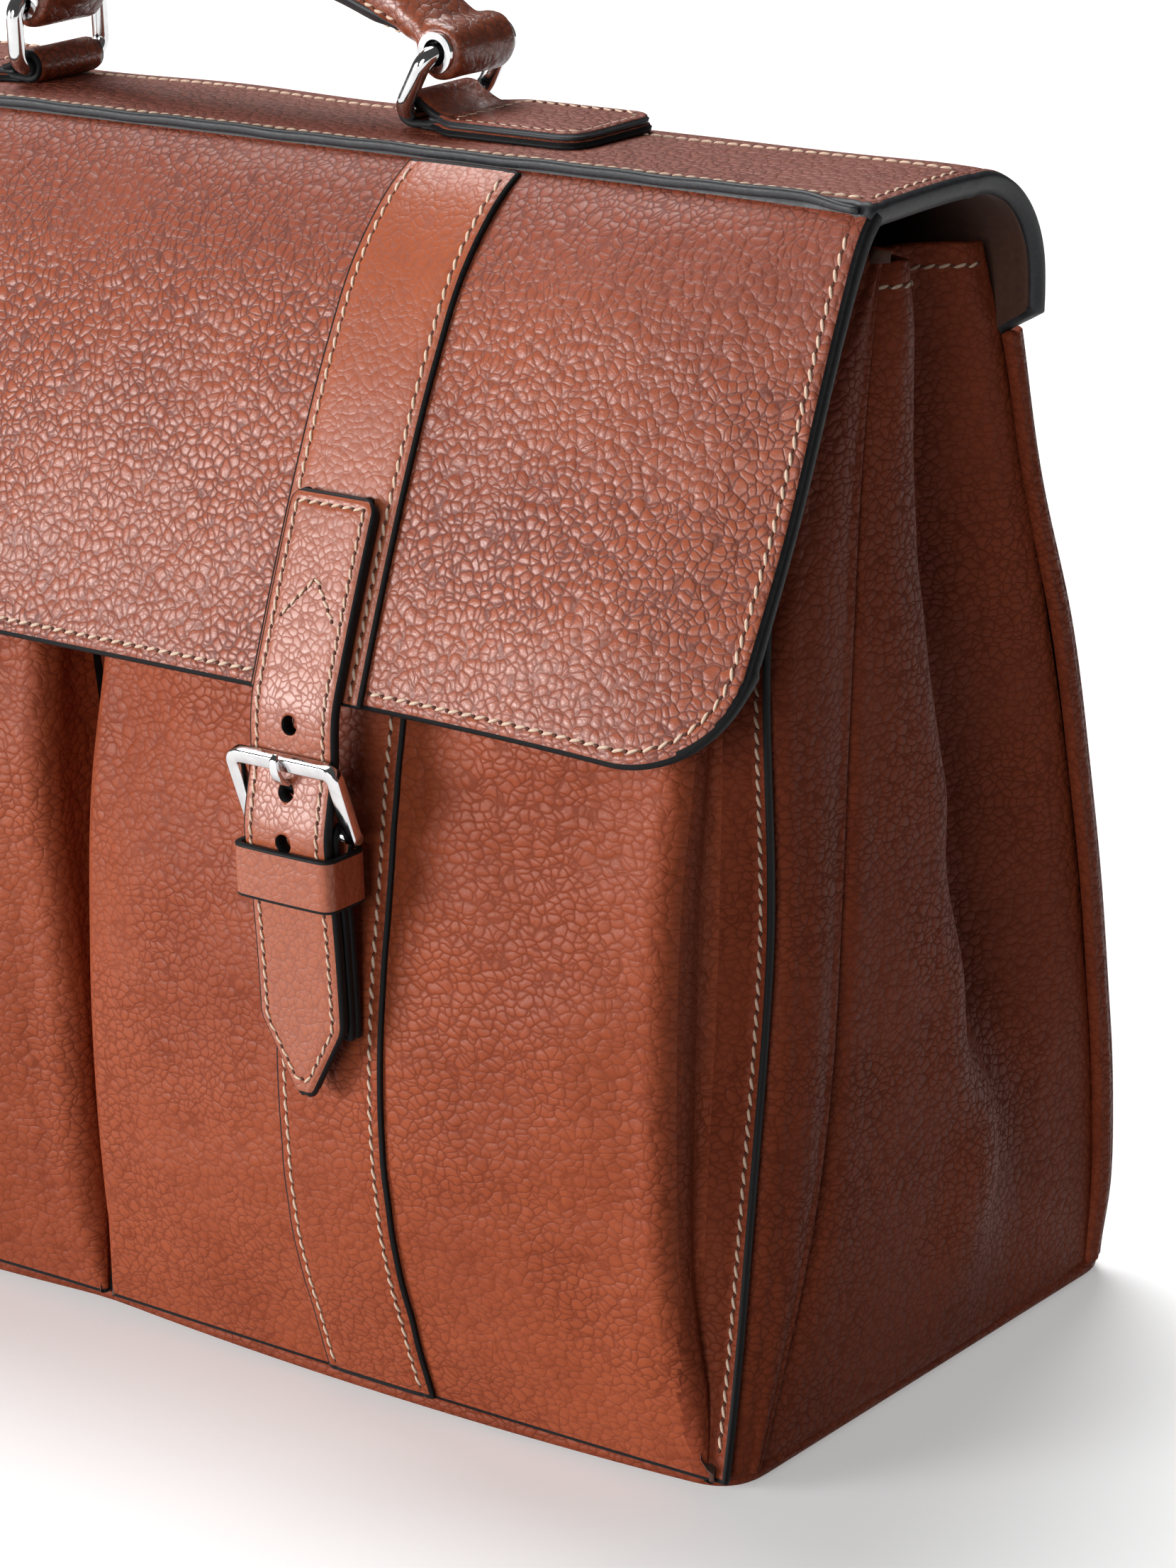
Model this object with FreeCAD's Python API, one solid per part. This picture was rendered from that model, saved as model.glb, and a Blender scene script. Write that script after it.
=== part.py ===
import FreeCAD, Part
import os
from math import asin, atan2, cos, degrees, hypot, pi, radians, sin

# Soft leather briefcase: a gusseted bag body, two puffed front pockets, a wide flap that wraps
# over the top, two buckle straps that close with press snaps, and a rolled carry handle.
# Millimetres. +X is the bag's length, the front faces -Y, +Z is up.
# The origin is on the floor, under the middle of the base.

Vec = FreeCAD.Vector

# Driving sizes ------------------------------------------------------------------------------
flap_length = 420.0
body_length = 403.0
base_length = 399.0
base_front = -81.0
base_back = 84.0
base_corner = 14.0
panel_thick = 3.0
lining_thick = 1.0
patch_thick = 1.5
patch_length = 300.0
patch_inset = 7.0
board_thick = 2.5
board_inset = 8.0
base_top = patch_thick + panel_thick

# Side profiles, written as (y, z) from the bottom up.
front_profile = [(-80.5, 4.5), (-77.0, 20), (-68.5, 67), (-59, 128), (-56, 214), (-45, 256), (-26, 284)]
back_profile = [(82, 4.5), (85.5, 25), (85.5, 46), (81, 90), (74, 133), (65, 176), (52, 218), (43, 254)]
front_seam = [(-71, 4.5), (-63, 22), (-47, 74), (-36.5, 136), (-29, 228), (-18.5, 284)]
back_seam = [(70, 4.5), (74, 25), (73, 60), (66, 110), (55, 165), (40, 220), (29, 271)]

# The gusset's inward fold: (z at the front, crest y, fold depth).
gusset_levels = [(4.5, 30.0, 0.5), (60, 25.0, 4.0), (105, 12.0, 10.0), (147, 4.0, 14.0),
                 (198, -4.0, 15.0), (246, -7.5, 13.0), (281, -9.0, 10.0)]
gusset_thick = 2.2
gusset_crest = 202.0
gusset_seam_x = 198.4
gusset_top_drop = 11.0
fold_width = 12.0

# Pockets: (z, front y at the sides, front y in the middle).
pocket_levels = [(5.0, -83.0, -84.0), (24, -86, -90.0), (44, -87.5, -95.5), (72, -88.3, -98.4),
                 (106, -87.6, -96.8), (142, -85, -90.8), (174, -78.0, -85.3), (208, -71, -77.0)]
pocket_inner_x = 9.0
pocket_outer_x = 194.0
pocket_skin = 2.4
flange_width = 4.0
flange_thick = 1.8

# Straps and the bands under them.
strap_x = 97.0
band_width = 33.0
band_thick = 1.8
band_gap = 0.35
strap_width = 25.0
strap_thick = 3.8
strap_gap = 0.15
strap_top_z = 228.0
strap_tip_length = 17.0
# Front face of the hanging strap, as (y, z) from the flap's edge down.
strap_front = [(-105.9, 183.0), (-106.6, 178.5), (-107.2, 170.0), (-109.0, 162.0), (-110.8, 153.0),
               (-109.8, 143.0), (-108.9, 130.0), (-108.3, 112.0), (-108.5, 88.0)]
swing_y = strap_front[0][0] + strap_thick / 2
swing_z = strap_front[0][1]
strap_hole_radius = 2.4
hole_heights = (178.5, 163.6, 150.9)
tongue_slot = 8.4

# Flap, as (y, z) from the front ridge down, in the middle and at the two ends.
flap_mid = [(-33, 297.5), (-45, 288.5), (-56, 277), (-68, 257), (-79, 234.3), (-90, 208.5), (-99.8, 183.6)]
flap_end = [(-33.5, 297), (-38.5, 289.5), (-44.5, 277.5), (-53.5, 258), (-66, 231), (-81, 205), (-96.5, 179.2)]
flap_stations = [(210.0, 1.0), (190.0, 0.55), (160.0, 0.2), (120.0, 0.0)]
flap_thick = 4.6
flap_corner = 28.0
top_z = 298.0
top_front = -32.6
top_back = 9.5
top_leather = 2.2
top_board_thick = 2.6
top_lining_thick = 1.7
roll_radius = 28.5
roll_thick = 4.6
ridge_height = 5.0
ridge_width = 3.4

# The flap turns about the line where its leather leaves the back seam.
hinge_y = 36.5
hinge_z = 261.5
hinge_gap = 3.0
tail_bottom = 238.0

# Handle, rings and their bases.
handle_y = -2.5
ring_wire = 2.2
ring_width = 31.0
ring_length = 16.9
ring_corner = 4.0
ring_pivot_x = 63.25
loop_wall = 2.2
loop_bore = ring_wire + 0.25
loop_width = 24.0
loop_z = top_z + loop_bore + loop_wall
left_lean = 0.0
right_lean = 30.7
tab_width = 33.0
tab_end = 117.0
tab_chamfer = 7.0
tab_layer = 1.8
handle_radius = 8.8
handle_arc = 125.0
core_radius = 5.0
core_reach = 21.0
ferrule_outer = 4.3
ferrule_inner = 3.25
ferrule_length = 25.2
ferrule_rim = 5.0
eye_radius = 6.8
eye_width = 22.0
edge_width = 4.6
edge_height = 2.4

# Buckle and closure.
bar_y = -103.1
bar_z = 153.0
bar_radius = 1.4
buckle_width = 34.0
buckle_side = 3.4
buckle_top_z = 170.6
buckle_bar_height = 4.0
buckle_bar_depth = 3.0
buckle_front_y = -111.0
chape_leaf = 2.0
chape_width = 24.0
chape_bottom = 103.0
tongue_width = 2.6
tongue_thick = 1.6
keeper_low = 136.8
keeper_high = 149.2
keeper_wall = 1.6
keeper_box = (26.4, -110.9, -99.9)
snap_z = 119.5
snap_radius = 6.3

os.makedirs("parts", exist_ok=True)


# Small geometry helpers ---------------------------------------------------------------------
def save(shape, name):
    """Write one sub-part, as a clean single solid, to its own file."""
    solids = shape.Solids
    if len(solids) != 1 or not shape.isValid():
        print("CHECK", name, "solids", len(solids), "valid", shape.isValid())
    solids[0].exportStep("parts/" + name + ".step")


def mirrored(shape):
    return shape.mirror(Vec(0, 0, 0), Vec(1, 0, 0))


def polygon_face(points):
    return Part.Face(Part.makePolygon(points + [points[0]]))


def side_plate(outline, x_low, x_high):
    """A plate cut to a (y, z) outline and x_low..x_high along the bag."""
    face = polygon_face([Vec(x_low, y, z) for y, z in outline])
    return face.extrude(Vec(x_high - x_low, 0, 0))


def front_prism(outline, y_low, y_high):
    """A prism through the bag whose front view is the (x, z) outline."""
    face = polygon_face([Vec(x, y_low, z) for x, z in outline])
    return face.extrude(Vec(0, y_high - y_low, 0))


def offset_line(line, distance):
    """The (y, z) line moved sideways, to its right as seen along +X, by distance."""
    moved = []
    for i, (y, z) in enumerate(line):
        before = line[max(i - 1, 0)]
        after = line[min(i + 1, len(line) - 1)]
        run = hypot(after[0] - before[0], after[1] - before[1])
        moved.append((y + distance * (after[1] - before[1]) / run,
                      z - distance * (after[0] - before[0]) / run))
    return moved


def strip_outline(line, thickness):
    """Closed (y, z) outline of a strip of leather that follows line."""
    return line + offset_line(line, thickness)[::-1]


def at_height(line, z):
    """y on a (y, z) line at height z."""
    ordered = sorted(line, key=lambda p: p[1])
    if z <= ordered[0][1]:
        return ordered[0][0]
    for (y0, z0), (y1, z1) in zip(ordered, ordered[1:]):
        if z <= z1:
            return y0 + (y1 - y0) * (z - z0) / (z1 - z0)
    return ordered[-1][0]


def part_of_line(line, z_low, z_high):
    """The stretch of a falling (y, z) line between two heights, ends included."""
    inside = [(y, z) for y, z in line if z_low < z < z_high]
    return [(at_height(line, z_high), z_high)] + inside + [(at_height(line, z_low), z_low)]


def rounded_plate(x_low, x_high, y_low, y_high, z_low, z_high, radius):
    box = Part.makeBox(x_high - x_low, y_high - y_low, z_high - z_low, Vec(x_low, y_low, z_low))
    upright = [e for e in box.Edges if abs(e.tangentAt(e.FirstParameter).z) > 0.9]
    return box.makeFillet(radius, upright)


def cylinder_y(radius, x, y_low, y_high, z):
    return Part.makeCylinder(radius, y_high - y_low, Vec(x, y_low, z), Vec(0, 1, 0))


def ruled_solid(sections):
    """A solid ruled between closed sections with the same number of points."""
    wires = [Part.makePolygon(points + [points[0]]) for points in sections]
    return Part.makeLoft(wires, True, True)


# Bag body -----------------------------------------------------------------------------------
def wrapped_panel(profile, seam, outward):
    """A front or back panel: a plate that follows the profile, with both sides turned to the seam."""
    half = body_length / 2
    inner = [(y - outward * panel_thick, z) for y, z in profile]
    shape = side_plate(profile + inner[::-1], -half, half)
    low = profile[0][1]
    high = min(profile[-1][1], seam[-1][1])
    heights = sorted({z for _, z in profile + seam if low <= z <= high})
    edge = [(at_height(profile, z) - outward * 0.5 * panel_thick, z) for z in heights]
    back = [(at_height(seam, z), z) for z in heights]
    for side in (-1, 1):
        x_far = side * half
        x_near = side * (half - panel_thick)
        shape = shape.fuse(side_plate(edge + back[::-1], min(x_far, x_near), max(x_far, x_near)))
    return shape.removeSplitter()


def gusset():
    """The right side gusset, folded inwards down its middle and flat at the base."""
    sections = []
    for z, crest_y, depth in gusset_levels:
        share = (z - base_top) / (gusset_levels[-1][0] - base_top)
        back_y = at_height(back_seam, z - gusset_top_drop * share) - 1.0
        front_y = at_height(front_seam, z) + 1.0
        line = [(gusset_seam_x, front_y), (gusset_crest, (front_y + crest_y) / 2), (gusset_crest, crest_y),
                (gusset_crest - depth, crest_y + fold_width), (gusset_crest - 0.4 * depth, back_y - 6.0),
                (gusset_seam_x, back_y)]
        span = back_y - front_y
        outer = []
        for x, y in line:
            drop = gusset_top_drop * share * (y - front_y) / span
            outer.append(Vec(x, y, z - drop))
        inner = [Vec(p.x - gusset_thick, p.y, p.z) for p in outer]
        sections.append(outer + inner[::-1])
    return ruled_solid(sections)


def base_panel():
    half = base_length / 2
    return rounded_plate(-half, half, base_front, base_back, patch_thick, base_top - 0.05, base_corner)


def base_patch():
    half = patch_length / 2
    return rounded_plate(-half, half, base_front + patch_inset, base_back - patch_inset,
                         0, patch_thick, base_corner)


def base_board():
    half = base_length / 2 - board_inset
    return rounded_plate(-half, half, base_front + board_inset, base_back - board_inset,
                         base_top, base_top + board_thick, base_corner)


def lining(profile, outward, high):
    """The lining sheet inside a panel, from the base board up to a height."""
    half = body_length / 2 - 2 * panel_thick
    low = base_top + board_thick + 0.5
    inside = [(y, z) for y, z in profile if low < z < high]
    line = [(at_height(profile, low), low)] + inside + [(at_height(profile, high), high)]
    near = [(y - outward * panel_thick, z) for y, z in line]
    far = [(y - outward * (panel_thick + lining_thick), z) for y, z in line]
    return side_plate(near + far[::-1], -half, half)


def pocket_section(z, side_y, middle_y, grow, back_y):
    """One level of a pocket: straight sides and back, with a bowed front."""
    x_low = pocket_inner_x + grow
    x_high = pocket_outer_x - grow
    corner = 5.0
    arc = Part.Arc(Vec(x_high - corner, side_y + grow - 1.6, z), Vec((x_low + x_high) / 2, middle_y + grow, z),
                   Vec(x_low + corner, side_y + grow - 1.6, z)).toShape()
    points = [Vec(x_low + corner, side_y + grow - 1.6, z), Vec(x_low, side_y + grow + 2.0, z),
              Vec(x_low, back_y, z), Vec(x_high, back_y, z), Vec(x_high, side_y + grow + 2.0, z),
              Vec(x_high - corner, side_y + grow - 1.6, z)]
    edges = [Part.makeLine(a, b) for a, b in zip(points, points[1:])]
    return Part.Wire([arc] + edges)


def pocket():
    """The right front pocket: bowed front, side walls, closed bottom, open top and sewn flange."""
    outer_wires = []
    inner_wires = []
    for z, side_y, middle_y in pocket_levels:
        back_y = at_height(front_profile, z) - 0.1
        outer_wires.append(pocket_section(z, side_y, middle_y, 0.0, max(back_y, side_y + 2.5)))
        inner_z = max(z, pocket_levels[0][0] + 8.0)
        if z == pocket_levels[-1][0]:
            inner_z = z + 1.0
        if z > pocket_levels[1][0] - 1.0:
            inner_wires.append(pocket_section(inner_z, side_y, middle_y, pocket_skin, back_y + 4.0))
    outer = Part.makeLoft(outer_wires, True, True)
    inner = Part.makeLoft(inner_wires, True, True)
    shell = outer.cut(inner)
    return shell.cut(side_plate(front_body_outline(), 0, body_length))


def front_body_outline():
    """Everything behind the main front panel's face, as a (y, z) outline."""
    shifted = [(y - 0.05, z) for y, z in front_profile]
    return shifted + [(20, front_profile[-1][1]), (20, 0), (base_front + 1, 0)]


def pocket_flange():
    """The turned-out edge of the pocket's side wall, sewn to the front panel."""
    heights = [z for _, z in front_profile if 20 <= z <= 205] + [205]
    line = [(at_height(front_profile, z) - 0.1, z) for z in heights]
    outline = line + [(y - flange_thick, z) for y, z in line[::-1]]
    return side_plate(outline, pocket_outer_x + 0.05, pocket_outer_x + flange_width)


def pocket_band():
    line = [(middle_y - band_gap, z) for z, _, middle_y in pocket_levels]
    outline = line + [(y - band_thick, z) for y, z in line[::-1]]
    return side_plate(outline, strap_x - band_width / 2, strap_x + band_width / 2)


# Flap ---------------------------------------------------------------------------------------
def flap_line(share):
    return [(m[0] + (e[0] - m[0]) * share, m[1] + (e[1] - m[1]) * share)
            for m, e in zip(flap_mid, flap_end)]


def corner_outline(half, low, high, radius):
    """Front view of a plate with two round lower corners."""
    points = [(-half, high), (half, high)]
    for centre, start in ((half - radius, 0), (radius - half, -90)):
        for step in range(7):
            angle = radians(start - step * 15)
            points.append((centre + radius * cos(angle), low + radius + radius * sin(angle)))
    return points


def flap_front():
    sections = []
    for side in (-1, 1):
        stations = flap_stations if side < 0 else flap_stations[::-1]
        for x, share in stations:
            outline = strip_outline(flap_line(share), -flap_thick)
            sections.append([Vec(side * x, y, z) for y, z in outline])
    shape = ruled_solid(sections)
    shape = shape.cut(Part.makeBox(500, 60, 40, Vec(-250, top_front - 0.05, top_z - 12)))
    low = flap_end[-1][1] - 1.8
    return shape.common(front_prism(corner_outline(flap_length / 2, low, 310.0, flap_corner), -130, 20))


def top_layer(z_low, z_high):
    half = flap_length / 2
    return Part.makeBox(2 * half, top_back - top_front, z_high - z_low, Vec(-half, top_front, z_low))


def top_ridge():
    half = flap_length / 2 - 2.0
    outline = [(top_front - ridge_width, top_z - 0.3), (top_front - 0.05, top_z - 0.3),
               (top_front - 0.05, top_z + 0.05), (top_front + 1.2, top_z + 0.05),
               (top_front + 0.6, top_z + ridge_height - 2.0),
               (top_front - ridge_width + 1.0, top_z + ridge_height - 2.0)]
    return side_plate(outline, -half, half)


def arc_points(radius, centre_y, centre_z, start, stop, steps):
    angles = [radians(start + (stop - start) * i / steps) for i in range(steps + 1)]
    return [(centre_y + radius * cos(a), centre_z + radius * sin(a)) for a in angles]


def flap_back():
    """The rolled back of the flap, from the top panel down to the hinge line."""
    centre_z = top_z - roll_radius
    outer = arc_points(roll_radius, top_back, centre_z, 90, 0, 6)
    inner = arc_points(roll_radius - roll_thick, top_back, centre_z, 90, 0, 6)
    outer.append((top_back + roll_radius - 0.3, hinge_z + hinge_gap))
    inner.append((top_back + roll_radius - roll_thick - 0.3, hinge_z + hinge_gap))
    half = flap_length / 2
    return side_plate(outer + inner[::-1], -half, half)


def flap_tail():
    """The end of the flap's leather, sewn inside the back panel's top hem."""
    back_y = [at_height(back_profile, z) - panel_thick - 0.1 for z in (tail_bottom, 254.0)]
    top_y = hinge_y + 1.2
    outline = [(back_y[0], tail_bottom), (back_y[1], 254.0), (top_y, hinge_z - hinge_gap),
               (top_y - roll_thick, hinge_z - hinge_gap), (back_y[1] - roll_thick, 250.0),
               (back_y[0] - roll_thick + 1.5, tail_bottom)]
    half = flap_length / 2 - 12.0
    return side_plate(outline, -half, half)


def band_line():
    """The (y, z) line of the flap band's underside, just clear of the flap."""
    line = offset_line(flap_mid, 0.1)
    line[-1] = (line[-1][0], flap_mid[-1][1] + 0.6)
    return line


def flap_band():
    outline = strip_outline(band_line(), band_thick)
    shape = side_plate(outline, strap_x - band_width / 2, strap_x + band_width / 2)
    ridge_side = Part.makeBox(100, 60, 40, Vec(strap_x - 50, top_front - ridge_width, top_z - 8))
    return shape.cut(ridge_side)


def strap_upper():
    """The strap's top end, sewn on the flap's band down to the flap's edge."""
    surface = offset_line(offset_line(band_line(), band_thick), 0.1)
    line = part_of_line(surface, swing_z + 2.2, strap_top_z)
    shape = side_plate(strip_outline(line, strap_thick), strap_x - strap_width / 2, strap_x + strap_width / 2)
    half = strap_width / 2
    outline = [(strap_x - half, 150), (strap_x + half, 150), (strap_x + half, strap_top_z - 2),
               (strap_x + half - 3, strap_top_z + 2), (strap_x - half + 3, strap_top_z + 2),
               (strap_x - half, strap_top_z - 2)]
    return shape.common(front_prism(outline, -130, 0))


# Straps -------------------------------------------------------------------------------------
def strap_lower():
    """The hanging strap with its holes and pointed tip."""
    low = strap_front[-1][1]
    half = strap_width / 2
    front = strap_front[1:]
    back = [(y + strap_thick, z) for y, z in front]
    head = arc_points(strap_thick / 2, swing_y, swing_z, 0, 180, 6)
    shape = side_plate(front[::-1] + head[::-1] + back, strap_x - half, strap_x + half)
    outline = [(strap_x - half, 200), (strap_x + half, 200), (strap_x + half, low + strap_tip_length),
               (strap_x + 1.5, low), (strap_x - 1.5, low), (strap_x - half, low + strap_tip_length)]
    shape = shape.common(front_prism(outline, -130, 0))
    for z in (hole_heights[0], hole_heights[2]):
        shape = shape.cut(cylinder_y(strap_hole_radius, strap_x, -130, -90, z))
    slot_x = strap_x - strap_hole_radius
    slot = Part.makeBox(2 * strap_hole_radius, 40, tongue_slot,
                        Vec(slot_x, -130, hole_heights[1] - tongue_slot / 2))
    return shape.cut(slot)


def chape():
    """The folded leather that carries the buckle bar: two leaves and the turn round the bar."""
    half = chape_width / 2
    outer_r = bar_radius + 0.25 + chape_leaf
    inner_r = bar_radius + 0.25
    fold_outer = arc_points(outer_r, bar_y, bar_z, 180, 0, 10)
    heights = (chape_bottom, 112.0, 130.0, 140.0)
    front = [(at_height(strap_front, z) + strap_thick + strap_gap, z) for z in heights]
    rear_y = front[-1][0] + 2 * chape_leaf
    back = [(rear_y, 143.0), (rear_y + 0.3, 125.0), (front[0][0] + 2 * chape_leaf, chape_bottom)]
    outline = front + fold_outer + back
    shape = side_plate(outline, strap_x - half, strap_x + half)
    bore = Part.makeCylinder(inner_r, chape_width + 2, Vec(strap_x - half - 1, bar_y, bar_z), Vec(1, 0, 0))
    slot_width = tongue_width + 1.6
    slot = Part.makeBox(slot_width, 2 * outer_r + 2, outer_r + 5,
                        Vec(strap_x - slot_width / 2, bar_y - outer_r - 1, bar_z - 3.3))
    return shape.cut(bore).cut(slot)


def snap_socket():
    """The press snap's cap and spring socket on the back of the chape."""
    y = at_height(strap_front, snap_z) + strap_thick + strap_gap + 2 * chape_leaf + 0.3
    ring = cylinder_y(snap_radius - 1.0, strap_x, y, y + 1.5, snap_z)
    cap = cylinder_y(snap_radius, strap_x, y - 0.05, y + 0.7, snap_z)
    return cap.fuse(ring).cut(cylinder_y(2.3, strap_x, y + 0.4, y + 3, snap_z))


def snap_stud():
    """The press snap's stud on the pocket band."""
    band_y = pocket_band_face(snap_z)
    plate = cylinder_y(snap_radius, strap_x, band_y - 0.75, band_y - 0.05, snap_z)
    post = cylinder_y(1.75, strap_x, band_y - 2.8, band_y - 0.7, snap_z)
    return plate.fuse(post).cut(pocket_band())


def pocket_band_face(z):
    line = [(middle_y - band_gap - band_thick, level) for level, _, middle_y in pocket_levels]
    return at_height(line, z)


def keeper():
    """The loop of leather that holds the strap's tail to the chape."""
    width, front_y, rear_y = keeper_box
    half = width / 2
    outer = rounded_plate(strap_x - half - keeper_wall, strap_x + half + keeper_wall,
                          front_y - keeper_wall, rear_y + keeper_wall, keeper_low, keeper_high, 3.0)
    hole = Part.makeBox(width, rear_y - front_y, keeper_high - keeper_low + 2,
                        Vec(strap_x - half, front_y, keeper_low - 1))
    return outer.cut(hole)


def buckle_frame():
    """The rectangular frame: front bar, two sides that pass the strap, and the round hinge bar."""
    half = buckle_width / 2
    top_y = buckle_front_y
    side = [(bar_y - 2.4, bar_z - 2.6), (bar_y + 1.6, bar_z - 2.0), (bar_y + 1.6, bar_z + 1.6),
            (top_y + buckle_bar_depth, buckle_top_z + buckle_bar_height / 2),
            (top_y, buckle_top_z + buckle_bar_height / 2), (top_y, buckle_top_z - buckle_bar_height / 2)]
    shape = side_plate(side, strap_x - half, strap_x - half + buckle_side)
    shape = shape.fuse(side_plate(side, strap_x + half - buckle_side, strap_x + half))
    bar = Part.makeBox(buckle_width, buckle_bar_depth, buckle_bar_height,
                       Vec(strap_x - half, top_y, buckle_top_z - buckle_bar_height / 2))
    pin = Part.makeCylinder(bar_radius, buckle_width - 1.0, Vec(strap_x - half + 0.5, bar_y, bar_z), Vec(1, 0, 0))
    return shape.fuse(bar).fuse(pin).removeSplitter()


def buckle_tongue():
    """The prong: an eye on the hinge bar and a cranked arm through the strap's hole."""
    half = tongue_width / 2
    tip_y = buckle_front_y - 0.25
    line = [(bar_y + 1.0, bar_z + 2.0), (bar_y + 0.6, 159.0), (bar_y - 0.5, 160.8), (bar_y - 4.9, 164.6),
            (tip_y, 168.0), (tip_y, buckle_top_z + 1.8)]
    arm = side_plate(strip_outline(line, -tongue_thick), strap_x - half, strap_x + half)
    eye = Part.makeCylinder(bar_radius + 1.4, tongue_width, Vec(strap_x - half, bar_y, bar_z), Vec(1, 0, 0))
    bore = Part.makeCylinder(bar_radius + 0.08, 10, Vec(strap_x - 5, bar_y, bar_z), Vec(1, 0, 0))
    return arm.fuse(eye).cut(bore)


# Handle -------------------------------------------------------------------------------------
def handle_base():
    """A folded leather tab whose loop holds the ring's lower bar."""
    half = tab_width / 2
    neck = loop_width / 2
    top = top_z + 2 * tab_layer
    outline = [(ring_pivot_x, -neck), (ring_pivot_x + 6, -neck), (ring_pivot_x + 12, -half),
               (tab_end - tab_chamfer, -half), (tab_end, -half + tab_chamfer), (tab_end, half - tab_chamfer),
               (tab_end - tab_chamfer, half), (ring_pivot_x + 12, half), (ring_pivot_x + 6, neck),
               (ring_pivot_x, neck)]
    low = top_z + 0.05
    face = polygon_face([Vec(x, handle_y + y, low) for x, y in outline])
    tab = face.extrude(Vec(0, 0, top - low))
    eye = cylinder_y(loop_bore + loop_wall - 0.05, ring_pivot_x, handle_y - neck, handle_y + neck, loop_z)
    ramp = [Vec(x, handle_y - neck, z) for x, z in
            ((ring_pivot_x, low), (ring_pivot_x, loop_z + 3), (ring_pivot_x + 3.4, loop_z + 2.8),
             (ring_pivot_x + 5.6, top + 1.6), (ring_pivot_x + 9, top), (ring_pivot_x + 9, low))]
    saddle = polygon_face(ramp).extrude(Vec(0, loop_width, 0))
    bore = cylinder_y(loop_bore, ring_pivot_x, handle_y - 30, handle_y + 30, loop_z)
    return tab.fuse(eye).fuse(saddle).cut(bore).removeSplitter()


def ring():
    """An upright rectangular ring of round wire, its lower bar on the origin along Y."""
    half = ring_width / 2
    straight = half - ring_corner
    rise = ring_length - 2 * ring_corner
    lower = Part.makeCylinder(ring_wire, 2 * straight, Vec(0, -straight, 0), Vec(0, 1, 0))
    upper = Part.makeCylinder(ring_wire, 2 * straight, Vec(0, -straight, ring_length), Vec(0, 1, 0))
    shape = lower.fuse(upper)
    for side in (-1, 1):
        leg = Part.makeCylinder(ring_wire, rise, Vec(0, side * half, ring_corner))
        shape = shape.fuse(leg)
        for z, end_z in ((ring_corner, 0), (ring_length - ring_corner, ring_length)):
            wire = Part.Wire(Part.makeCircle(ring_wire, Vec(0, side * straight, end_z), Vec(0, 1, 0)))
            sense = side if end_z == 0 else -side
            bend = Part.Face(wire).revolve(Vec(0, side * straight, z), Vec(sense, 0, 0), 90)
            shape = shape.fuse(bend)
    return shape.removeSplitter()


def placed_ring(side, lean):
    shape = ring()
    shape.rotate(Vec(0, 0, 0), Vec(0, 1, 0), side * lean)
    shape.translate(Vec(side * ring_pivot_x, handle_y, loop_z))
    return shape


def ring_top(side, lean):
    return (side * (ring_pivot_x + ring_length * sin(radians(lean))), loop_z + ring_length * cos(radians(lean)))


left_top = ring_top(-1, left_lean)
right_top = ring_top(1, right_lean)
handle_span = hypot(right_top[0] - left_top[0], right_top[1] - left_top[1])
handle_tilt = degrees(atan2(left_top[1] - right_top[1], right_top[0] - left_top[0]))
end_angle = degrees(asin(handle_span / 2 / handle_arc))
arc_centre_z = -handle_arc * cos(radians(end_angle))


def place_handle(shape):
    """Move a handle piece from its own frame, ends level, to between the two rings."""
    shape.rotate(Vec(0, 0, 0), Vec(0, 1, 0), handle_tilt)
    shape.translate(Vec((left_top[0] + right_top[0]) / 2, handle_y, (left_top[1] + right_top[1]) / 2))
    return shape


def handle_section(angle, half_width, half_height):
    """A closed cross-section of the handle, square to its arch."""
    lean = radians(angle)
    points = []
    for step in range(20):
        turn = 2 * pi * step / 20
        across = half_width * cos(turn)
        radial = handle_arc + half_height * sin(turn)
        points.append(Vec(radial * sin(lean), across, arc_centre_z + radial * cos(lean)))
    return points


def arched_round(radius, reach):
    """A round bar that follows the handle's arch to reach degrees each side of its top."""
    start = radians(-reach)
    centre = Vec(handle_arc * sin(start), 0, arc_centre_z + handle_arc * cos(start))
    circle = Part.makeCircle(radius, centre, Vec(cos(start), 0, -sin(start)))
    face = Part.Face(Part.Wire(circle))
    return face.revolve(Vec(0, 0, arc_centre_z), Vec(0, 1, 0), 2 * reach)


def handle_grip():
    """The rolled leather grip round its core."""
    return arched_round(handle_radius, core_reach).cut(arched_round(core_radius, core_reach)).cut(handle_edge())


def handle_end(side):
    """The grip's end, narrowing to an eye round the end tube."""
    sizes = [(core_reach + 0.1, handle_radius, handle_radius), (core_reach + 4.0, 9.2, 7.4),
             (end_angle - 3.0, 10.8, 5.4)]
    shape = ruled_solid([handle_section(side * a, w, h) for a, w, h in sizes])
    x = side * handle_span / 2
    shape = shape.fuse(cylinder_y(eye_radius, x, -eye_width / 2, eye_width / 2, 0))
    return shape.cut(cylinder_y(ferrule_outer, x, -30, 30, 0)).cut(handle_edge())


def handle_edge():
    """The painted raw edge of the grip's seam, along its underside."""
    reach = core_reach + 4.0
    start = radians(-reach)
    outer = handle_arc - handle_radius + 0.6
    inner = outer - edge_height
    corners = []
    for radial, across in ((outer, -1), (outer, 1), (inner, 1), (inner, -1)):
        corners.append(Vec(radial * sin(start), across * edge_width / 2, arc_centre_z + radial * cos(start)))
    return polygon_face(corners).revolve(Vec(0, 0, arc_centre_z), Vec(0, 1, 0), 2 * reach)


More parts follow.
